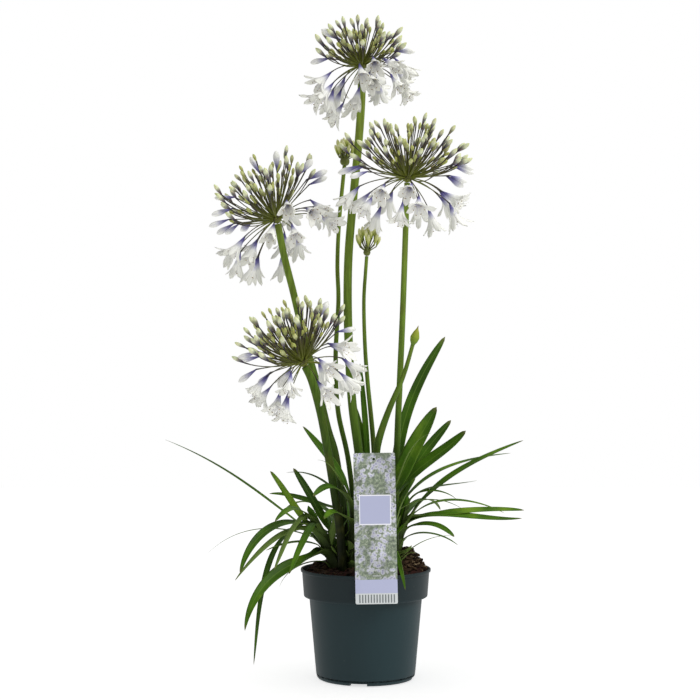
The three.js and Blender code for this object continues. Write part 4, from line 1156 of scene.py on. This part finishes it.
def ready_shape():
    """A floret about to open: a tube that swells to a long blunt bud, with six lobes.

    V stops short of 1, so that the violet reaches further up than on an open flower.
    """
    along = np.array([0, 0.1, 0.22, 0.36, 0.5, 0.66, 0.8, 0.92, 1])[:, None]
    wide = np.array([0.2, 0.28, 0.42, 0.6, 0.82, 1.0, 0.95, 0.62, 0.12])[:, None]
    angle = circle(12)
    lobed = wide * (1 + 0.07 * np.cos(6 * angle) * smooth(along, 0.3, 0.8))
    return closed_grid(about_z(lobed, angle, along), v_at=0.6 * along[:, 0])


def stamens_shape():
    """Six stamens and a style: curves that leave the tube and spread, each stamen with an anther."""
    number = np.arange(7)
    angle = np.radians(15 + 60 * number)
    reach = np.where(number < 6, 6.5 + jitter(number, 3, 1.2), 1.2)[:, None]
    tall = np.where(number < 6, 16 + jitter(number, 4, 2.5), 19)[:, None]
    t = np.linspace(0, 1, 5)
    height = mix(FLOWER["tube"] * 0.6, FLOWER["tube"] + tall, t)
    lines = about_z(mix(0.8, reach, t**1.6), angle[:, None], height)
    side = about_z(1, angle + math.pi / 2, 0)
    bead = lines[:6, -1:] + side[:6, None] * np.array([-1.3, -0.6, 0.6, 1.3])[:, None]
    anthers = tubes(bead, np.array([0.2, 0.5, 0.5, 0.2])[:, None], 4, np.tile(UP, (6, 1)), 1.0)
    return join([tubes(lines, 0.24, 3, side), anthers])


def core_shape(name, radius):
    """The swelling that the floret stalks grow from: a ball with a ridge for each of eleven stalks."""
    axis, hub = seat_of(name, radius)
    polar = np.linspace(0.06, math.pi - 0.06, 10)[:, None]
    angle = circle(22)
    r = radius * (1 + 0.05 * np.cos(angle * 11) * np.sin(polar))
    side = unit(np.cross(axis, BACK))
    local = about_z(r * np.sin(polar), angle, -r * np.cos(polar))
    return closed_grid(hub + local @ np.array([side, np.cross(axis, side), axis]))


def bud_head_florets(name):
    """Buds of a head that is just opening: a tight spiral about its axis, turned up and stepped."""
    head = BUD_HEADS[name]
    axis, hub = seat_of(name, head["core"])
    number = np.arange(HEAD_BUDS)
    share = (number + 0.5) / HEAD_BUDS
    polar = np.radians(8 + 54 * share)[:, None]
    turn = np.radians(number * GOLDEN + jitter(number, head["seed"], 10))
    lean = axis * np.cos(polar) + about_z(1, turn, 0) * np.sin(polar)
    reach = head["height"] * mix(0.48, 0.3, share) * (1 + jitter(number, head["seed"] + 1, 0.08))
    return {"foot": np.tile(hub, (HEAD_BUDS, 1)), "end": hub + lean * reach[:, None],
            "heading": unit(lean + UP * 1.6), "towards": lean, "side": unit(np.cross(lean, UP)),
            "number": number, "sag": np.zeros(HEAD_BUDS)}


def closed_bud_shape(rows=26, sides=28):
    """A closed sheath: it swells over a third of its length and draws out to a beak, with two seams."""
    line = through(STALKS["closed"][2], 200)
    axis = unit(line[-1] - line[-2])
    at = np.linspace(-0.1, 1, rows)
    wide = np.interp(at, [-0.1, 0.02, 0.12, 0.36, 0.66, 0.84, 1], [0.36, 0.52, 0.8, 1, 0.6, 0.2, 0.05])
    wide = np.convolve(np.pad(wide, 1, mode="edge"), [0.25, 0.5, 0.25], "valid")
    groove = 1 - 0.09 * np.exp(-((np.sin(circle(sides) - 0.5) / 0.16) ** 2))
    spine = line[-1] + axis * (at * CLOSED_BUD["length"])[:, None]
    return tubes(spine[None], CLOSED_BUD["radius"] * wide[:, None] * groove, sides, BACK[None])


# ---- Leaves ------------------------------------------------------------------------------------


def blade(line, across, normal, half, fold, thick, tone, v_at, columns=8):
    """A closed strap round a midrib.

    Each section is an arc of half angle fold and chord twice half, upper face then lower face, and
    its thickness falls from the midrib to the edges as one less the fourth power.
    """
    s = np.arange(2 * columns) / (2 * columns)
    a = np.where(s < 0.5, 1 - 4 * s, 4 * s - 3)
    face = np.where(s < 0.5, 1.0, -1.0)
    radius = (half / np.sin(fold))[:, None]
    angle = a * fold[:, None]
    rise = face * (1 - a**4) * thick[:, None] / 2
    x = radius * np.sin(angle) - np.sin(angle) * rise
    y = radius * (1 - np.cos(angle)) + np.cos(angle) * rise
    points = line[:, None] + across[:, None] * x[..., None] + normal[:, None] * y[..., None]
    return closed_grid(points, tone, v_at)


def neck_at(fan, height):
    """The middle of a fan's neck at heights over the soil: upright below it, and leaning above it."""
    x, y, _, lean, _ = fan
    risen = np.maximum(0, height)
    return np.stack([x + lean[0] * risen, y + lean[1] * risen, LEVEL + height], -1)


def neck_radius(fan, height):
    """A neck's radius: even in the soil, falling evenly to its top, and closed above it."""
    return np.interp(height, [0, fan[2], fan[2] + NECK["cap"]], [NECK["foot"], NECK["top"], 0.4])


def leaf_shape(fan, leaf, layer, seed, shade=None, over=False, rows=64):
    """A strap leaf: a sheath that stands on the neck, and a cubic midrib from there to its tip.

    The sheath is a part of a tube round the neck, a layer further out for each that it covers. The
    blade opens from it to a shallow channel, turns about its midrib by the smooth step, swells to
    its full width, and closes as one less a power of its length. Small sines sway the midrib and
    ripple the edges.
    """
    compass, reach, tip, foot, foot_slope, tip_slope, width, turn, point = leaf
    away, flat = about_z(1, math.radians(compass) + np.array([0, math.pi / 2]), 0)
    start = neck_at(fan, foot) + away * LEAF["start"]
    end = np.array([fan[0], fan[1], tip]) + away * reach
    handle = LEAF["handle"] * np.linalg.norm(end - start)

    def slope(degrees):
        return away * math.cos(math.radians(degrees)) + UP * math.sin(math.radians(degrees))

    def grip(height):
        return neck_radius(fan, height) + 0.5 + LEAF["layer"] * layer

    first, second = start + slope(foot_slope) * handle, end - slope(tip_slope) * handle
    t = np.linspace(0.04, 1, 30)[:, None]
    free = mix(bend(start, first, second, t), bend(first, second, end, t), t)
    free = free + away * (grip(foot) - LEAF["start"]) * (1 - smooth(t, 0, 0.2))
    low = np.linspace(-9, max(foot - 7, -3), 5)
    held = neck_at(fan, low) + away * grip(low)[:, None]
    line = through(np.vstack([held, free]), rows)
    span = lengths(line)
    stand = np.linalg.norm(held[-1] - held[0]) + 5
    t = np.clip((span - stand) / (span[-1] - stand), 0, 1)
    share = LEAF["sheath"] * np.clip(span / stand, 0, 1) + (1 - LEAF["sheath"]) * t

    phase = draw(seed, 41) * 2 * math.pi
    sway = width * 0.09 * np.sin(phase + 7 * t) * smooth(t, 0.15, 0.5)
    line = line + flat * sway[:, None]
    tangent = unit(np.gradient(line, axis=0))
    face = unit(np.cross(tangent, flat))
    twist = math.radians(turn) * smooth(t, 0, LEAF["turned"]) + math.pi * over * smooth(t, 0.03, 0.3)
    twist = twist + 0.1 * np.sin(5 * t + phase) * smooth(t, 0.3, 0.8)
    across = flat * np.cos(twist)[:, None] + face * np.sin(twist)[:, None]
    across = unit(across - tangent * np.sum(across * tangent, axis=1, keepdims=True))
    normal = unit(np.cross(tangent, across))

    taper, blunt, power = (mix(a, b, point) for a, b in zip(LEAF["strap"], LEAF["pointed"]))
    late = np.clip((t - taper) / (1 - taper), 0, 1)
    close = np.clip(1 - late**blunt, 0, 1) ** power
    full = width / 2 * mix(LEAF["narrow"], 1, smooth(t, 0, LEAF["wide"])) * close + 0.12
    column = grip(line[:, 2] - LEVEL)
    hug = np.minimum(0.98 * column, 0.75 * width + 2.5)
    half = mix(hug, full, smooth(t, 0, 0.14))
    ripple = 1 + 0.05 * np.sin(11 * t + 2 * phase) * smooth(t, 0.2, 0.5)
    fold = mix(np.arcsin(hug / column), math.radians(LEAF["fold"]), smooth(t, 0, 0.28)) * ripple
    thick = np.where(t > 0, mix(1.4, 0.7, t), 0.9) * (1 - late**3 * 0.75)
    shade = jitter(seed, 43, 0.28) if shade is None else shade
    return blade(line, across, normal, half, fold, thick, shade, share)


def stub_leaves(seed):
    """Short leaves for a fan's foot: directions turn by the golden angle, and draws set the rest."""
    number = np.arange(STUBS) + seed
    foot = mix(2, 30, draw(number, 51))
    reach, rise = mix(14, 36, draw(number, 52)), mix(18, 66, draw(number, 53) ** 1.6)
    slope, width = mix(35, 70, draw(number, 54)), mix(7, 11, draw(number, 55))
    columns = (number * GOLDEN % 360, reach, LEVEL + foot + rise, foot, 78, slope, width,
               jitter(number, 56, 40), 0.5)
    return np.stack(np.broadcast_arrays(*columns), -1)


def neck_shape(fan, seed):
    """A neck of rolled leaf bases: a tapering column that steps down where each base wraps the last."""
    top = fan[2]
    height = np.concatenate([[-SOCKET], np.linspace(-4, top, 26), [top + 3, top + NECK["cap"]]])
    angle = circle(32)
    turns = (angle + seed + 0.012 * height[:, None] + 2.1 * np.arange(3)[:, None, None]) / (2 * math.pi)
    edge = (turns % 1 - 0.5).mean(0)
    r = neck_radius(fan, height)[:, None] * (1 + 0.16 * edge)
    return closed_grid(neck_at(fan, height)[:, None] + about_z(r, angle, 0), 0.1)


# ---- Operators ---------------------------------------------------------------------------------


class AGAPANTHUS_OT_pot(bpy.types.Operator):
    """Turns the nursery pot, with its drain notches and holes"""

    bl_idname = "agapanthus.pot"
    bl_label = "Pot"

    def execute(self, context):
        settings = context.scene.agapanthus_pot
        angle = circle(DRAIN["count"]) + math.pi / DRAIN["count"]
        drills = [tubes(line[None], DRAIN["radius"], 24, BACK[None])
                  for line in about_z(DRAIN["circle"], angle[:, None], np.array([-6, 2, 12]))]
        drilled = cut(to_mesh("pot", pot_shape(settings), merge=True), drills)
        place("nursery_pot", drilled, polypropylene(settings), "pot", "pot")
        return {"FINISHED"}


class AGAPANTHUS_OT_soil(bpy.types.Operator):
    """Fills the pot with peat and strews bark on it"""

    bl_idname = "agapanthus.soil"
    bl_label = "Soil"

    def execute(self, context):
        settings = context.scene.agapanthus_soil
        peat = earth("Peat", "#180e0b", settings.peat, "#4a3a2a", 0.003)
        bark = earth("Pine bark", "#1f140e", settings.bark, "#86745a", 0.004)
        place("peat", soil_shape(settings.crumb / MM), peat, "soil", "soil")
        place("bark_pieces", chips_shape(settings.chips, settings.chip / MM), bark, "soil", flat=True)
        return {"FINISHED"}


class AGAPANTHUS_OT_label(bpy.types.Operator):
    """Hangs the printed label over the rim"""

    bl_idname = "agapanthus.label"
    bl_label = "Label"

    def execute(self, context):
        sheet = printed_plastic(context.scene.agapanthus_label)
        punched = cut(to_mesh("plate", plate_shape(), flat=True), [punch_shape()])
        place("plant_label", punched, sheet, "label", "label")
        place("label_tongue", tongue_shape(), sheet, "label", flat=True)
        return {"FINISHED"}


class AGAPANTHUS_OT_stalks(bpy.types.Operator):
    """Grows the flower stalks, and the closed bud on the last of them"""

    bl_idname = "agapanthus.stalks"
    bl_label = "Stalks"

    def execute(self, context):
        skin = stem_skin(context.scene.agapanthus_stalks)
        for name in STALKS:
            place(f"scape_{name}", stalk_shape(name), skin, "stalk", f"stalk_{name}")
        stops = [(0.0, "#55752c"), (0.4, "#7f952e"), (0.85, "#95993a"), (1.0, "#7a6a3c")]
        sheath = along_colours("Closed sheath", stops, None, 0.2, Specular_IOR_Level=0.25)[0]
        place("closed_bud", closed_bud_shape(), sheath, "stalk")
        return {"FINISHED"}


class AGAPANTHUS_OT_umbels(bpy.types.Operator):
    """Sets the open umbels: floret stalks, buds, flowers and stamens"""

    bl_idname = "agapanthus.umbels"
    bl_label = "Umbels"

    def execute(self, context):
        settings = context.scene.agapanthus_umbels
        closed_skin, stalk_skin, stamen_skin = bud_skin(settings), pedicel_skin(), anther_skin()
        violet = [(0.0, "#242238"), (0.08, settings.violet), (0.19, "#67639b"), (0.3, "#b8b7cf")]
        throat = [(0.0, "#5d5a80"), (0.2, "#9190b4"), (0.34, "#d2d2e0")]
        petals = petal_skin("Petal", violet, settings)
        inside = petal_skin("Petal throat", throat, settings)
        flowers = [perianth_shape(*opening, 1 + kind) for kind, opening in enumerate(OPENINGS)]
        bud, ripe_bud, stamens = bud_shape(), ready_shape(), stamens_shape()
        for name, head in UMBELS.items():
            node, long, low = f"umbel_{name}", head["bud_stalk"], head["spread"]
            buds, greens = (round(count * head["budded"]) for count in (settings.buds, settings.young))
            blown = round(settings.flowers * head["flowered"])
            closed = florets_of(name, "bud", spiral(head, 0, low, buds), long)
            young = florets_of(name, "young", spiral(head, 4, low - 6, greens), long * YOUNG)
            ready = florets_of(name, "ready", READY[name], long * READIED)
            open_places = spiral(head, BELOW, head["open"], blown)
            opened = florets_of(name, "flower", open_places, head["flower_stalk"])
            stems = [pedicels(florets) for florets in (closed, young, ready, opened)]
            place(f"{node}_stalks", join([core_shape(name, CORE), *stems]), stalk_skin, "stalk")

            age = np.clip(mix(0.25, 1, closed["share"]) + jitter(closed["number"], 5, 0.28), 0, 1.05)
            small = draw(young["number"], 71)
            closed_buds = [set_on(closed, bud, np.clip(age + 0.15, 0, 1), CLOSED, age),
                           set_on(young, bud, small * 0.4, GREEN, small)]
            place(f"{node}_buds", join(closed_buds), closed_skin, "bud")

            kind = opened["number"] % len(flowers)
            blooms = []
            for number, flower in enumerate(flowers):
                alike = {key: values[kind == number] for key, values in opened.items()}
                blooms.append(set_on(alike, flower, draw(alike["number"], 73), sunk=0))
            piece = place(f"{node}_flowers", join(blooms), petals, "floret", node, merge=True)
            thicken = piece.modifiers.new("Petal thickness", "SOLIDIFY")
            thicken.thickness = settings.petal
            thicken.offset = -1
            piece.data.materials.append(inside)
            thicken.material_offset = 1
            swell = draw(ready["number"], 75)
            place(f"{node}_ready", set_on(ready, ripe_bud, swell, RIPE, swell), petals, "floret")
            place(f"{node}_stamens", set_on(opened, stamens, 0, sunk=0), stamen_skin, "floret")
        return {"FINISHED"}


class AGAPANTHUS_OT_bud_heads(bpy.types.Operator):
    """Sets the two bud heads that are just opening"""

    bl_idname = "agapanthus.bud_heads"
    bl_label = "Bud heads"

    def execute(self, context):
        settings = context.scene.agapanthus_umbels
        stops = [(0.0, "#7a8c30"), (0.25, "#adb94c"), (0.55, "#dfe19a"), (1.0, "#f4f1d0")]
        skin = along_colours("Young bud skin", stops, settings.green, 0.2)[0]
        greens = [(0.0, "#71802f"), (1.0, "#5c5a34")]
        stem = along_colours("Young floret stalk", greens, None, 0.15)[0]
        for name, head in BUD_HEADS.items():
            node, florets = f"bud_head_{name}", bud_head_florets(name)
            stems = join([core_shape(name, head["core"]), pedicels(florets)])
            place(f"{node}_stalks", stems, stem, "bud")
            number = florets["number"]
            wide = 2.5 + jitter(number, 94, 0.3)
            long = head["height"] * 0.36 * (1 + jitter(number, 93, 0.14))
            sizes, tones = ((wide, wide), (long, long)), mix(0.45, 1, draw(number, 95))
            buds = set_on(florets, bud_shape(), tones, sizes, sunk=0)
            place(f"{node}_buds", buds, skin, "bud", node)
        return {"FINISHED"}


class AGAPANTHUS_OT_leaves(bpy.types.Operator):
    """Grows the fans of strap leaves out of their necks"""

    bl_idname = "agapanthus.leaves"
    bl_label = "Leaves"

    def execute(self, context):
        skin = leaf_skin(context.scene.agapanthus_leaves)
        # Painted shade: the necks are near-black green, darkest at the soil, for the shade among the
        # leaf bases.
        stops = [(0.0, "#141806"), (0.35, "#202f05"), (0.7, "#304709"), (1.0, "#3a5d10")]
        sheath = along_colours("Shaded rolled leaf base", stops, None, 0.3, Specular_IOR_Level=0.1)[0]
        for index, (name, fan) in enumerate(FANS.items()):
            shapes = []
            for number, leaf in enumerate(fan[4]):
                layer = sum(other[3] > leaf[3] for other in fan[4])
                shade, over = SHADES.get((name, number)), (name, number) in TURNED_OVER
                shapes.append(leaf_shape(fan, leaf, layer, 100 * index + number, shade, over))
            for number, stub in enumerate(stub_leaves(10 * index)):
                shapes.append(leaf_shape(fan, stub, 1 + number, 100 * index + 50 + number, rows=26))
            place(f"fan_{name}", join(shapes), skin, "leaf", f"leaves_{name}")
        for index, (name, fan) in enumerate(FANS.items()):
            place(f"neck_{name}", neck_shape(fan, index), sheath, "leaf")
        return {"FINISHED"}


class AGAPANTHUS_OT_stage(bpy.types.Operator):
    """Lays the floor and sets the lights and the camera"""

    bl_idname = "agapanthus.stage"
    bl_label = "Stage"

    def execute(self, context):
        scene = context.scene
        settings = scene.agapanthus_stage
        scene.view_settings.view_transform = "Standard"
        x = np.linspace(-FLOOR["half"], FLOOR["half"], 5)
        sheet = np.stack([*np.meshgrid(x, x), np.full((5, 5), FLOOR["level"])], -1)
        floor = linked("floor", to_mesh("floor", grid(sheet)))
        floor.data.materials.append(seamless_paper(settings))
        world = bpy.data.worlds.new("White surround")
        world.use_nodes = True
        tree = world.node_tree
        seen = add(tree, "LightPath").outputs["Is Camera Ray"]
        strength = add(tree, "MapRange", [seen, 0, 1, settings.sky, 1.0])
        wire(tree.nodes["Background"], {"Color": (1, 1, 1), "Strength": strength})
        scene.world = world
        light = bpy.data.lights.new("key", "SUN")
        light.energy = settings.key
        light.angle = math.radians(LAMP["angle"])
        lamp = linked("key", light)
        lamp.rotation_euler = (math.radians(LAMP["tilt"]), 0, math.radians(LAMP["turn"]))
        # The key light passes the paper by, so that no hard shadow lies on it.
        shaded = bpy.data.collections.new("out_of_key_light")
        shaded.objects.link(floor)
        shaded.collection_objects[0].light_linking.link_state = "EXCLUDE"
        lamp.light_linking.receiver_collection = shaded
        camera = bpy.data.cameras.new("camera")
        camera.sensor_width = CAMERA["sensor"]
        camera.lens = CAMERA["lens"]
        eye = linked("camera", camera)
        eye.location = (CAMERA["x"], -settings.distance, settings.eye)
        eye.rotation_euler = (math.pi / 2, 0, 0)
        scene.camera = eye
        return {"FINISHED"}


class AGAPANTHUS_PT_panel(bpy.types.Panel):
    """Lists the plant's pieces and their settings."""

    bl_label = "Agapanthus"
    bl_idname = "AGAPANTHUS_PT_panel"
    bl_space_type = "VIEW_3D"
    bl_region_type = "UI"
    bl_category = "Agapanthus"

    def draw(self, context):
        for operator in OPERATORS:
            self.layout.operator(operator.bl_idname)
        for group, kind in SETTINGS.items():
            for name in kind.__annotations__:
                self.layout.prop(getattr(context.scene, group), name)


OPERATORS = [AGAPANTHUS_OT_stage, AGAPANTHUS_OT_pot, AGAPANTHUS_OT_soil, AGAPANTHUS_OT_label,
             AGAPANTHUS_OT_stalks, AGAPANTHUS_OT_umbels, AGAPANTHUS_OT_bud_heads, AGAPANTHUS_OT_leaves]


def register():
    """Registers the settings, operators and panel."""
    for kind in [*SETTINGS.values(), *OPERATORS, AGAPANTHUS_PT_panel]:
        bpy.utils.register_class(kind)
    for group, kind in SETTINGS.items():
        setattr(bpy.types.Scene, group, PointerProperty(type=kind))


def unregister():
    """Removes what register added."""
    for group in SETTINGS:
        delattr(bpy.types.Scene, group)
    for kind in [AGAPANTHUS_PT_panel, *reversed(OPERATORS), *SETTINGS.values()]:
        bpy.utils.unregister_class(kind)


def main():
    """Builds the plant and its stage."""
    register()
    bpy.ops.agapanthus.stage()
    bpy.ops.agapanthus.pot()
    bpy.ops.agapanthus.soil()
    bpy.ops.agapanthus.label()
    bpy.ops.agapanthus.stalks()
    bpy.ops.agapanthus.umbels()
    bpy.ops.agapanthus.bud_heads()
    bpy.ops.agapanthus.leaves()
    bpy.context.view_layer.update()


if __name__ == "__main__":
    main()
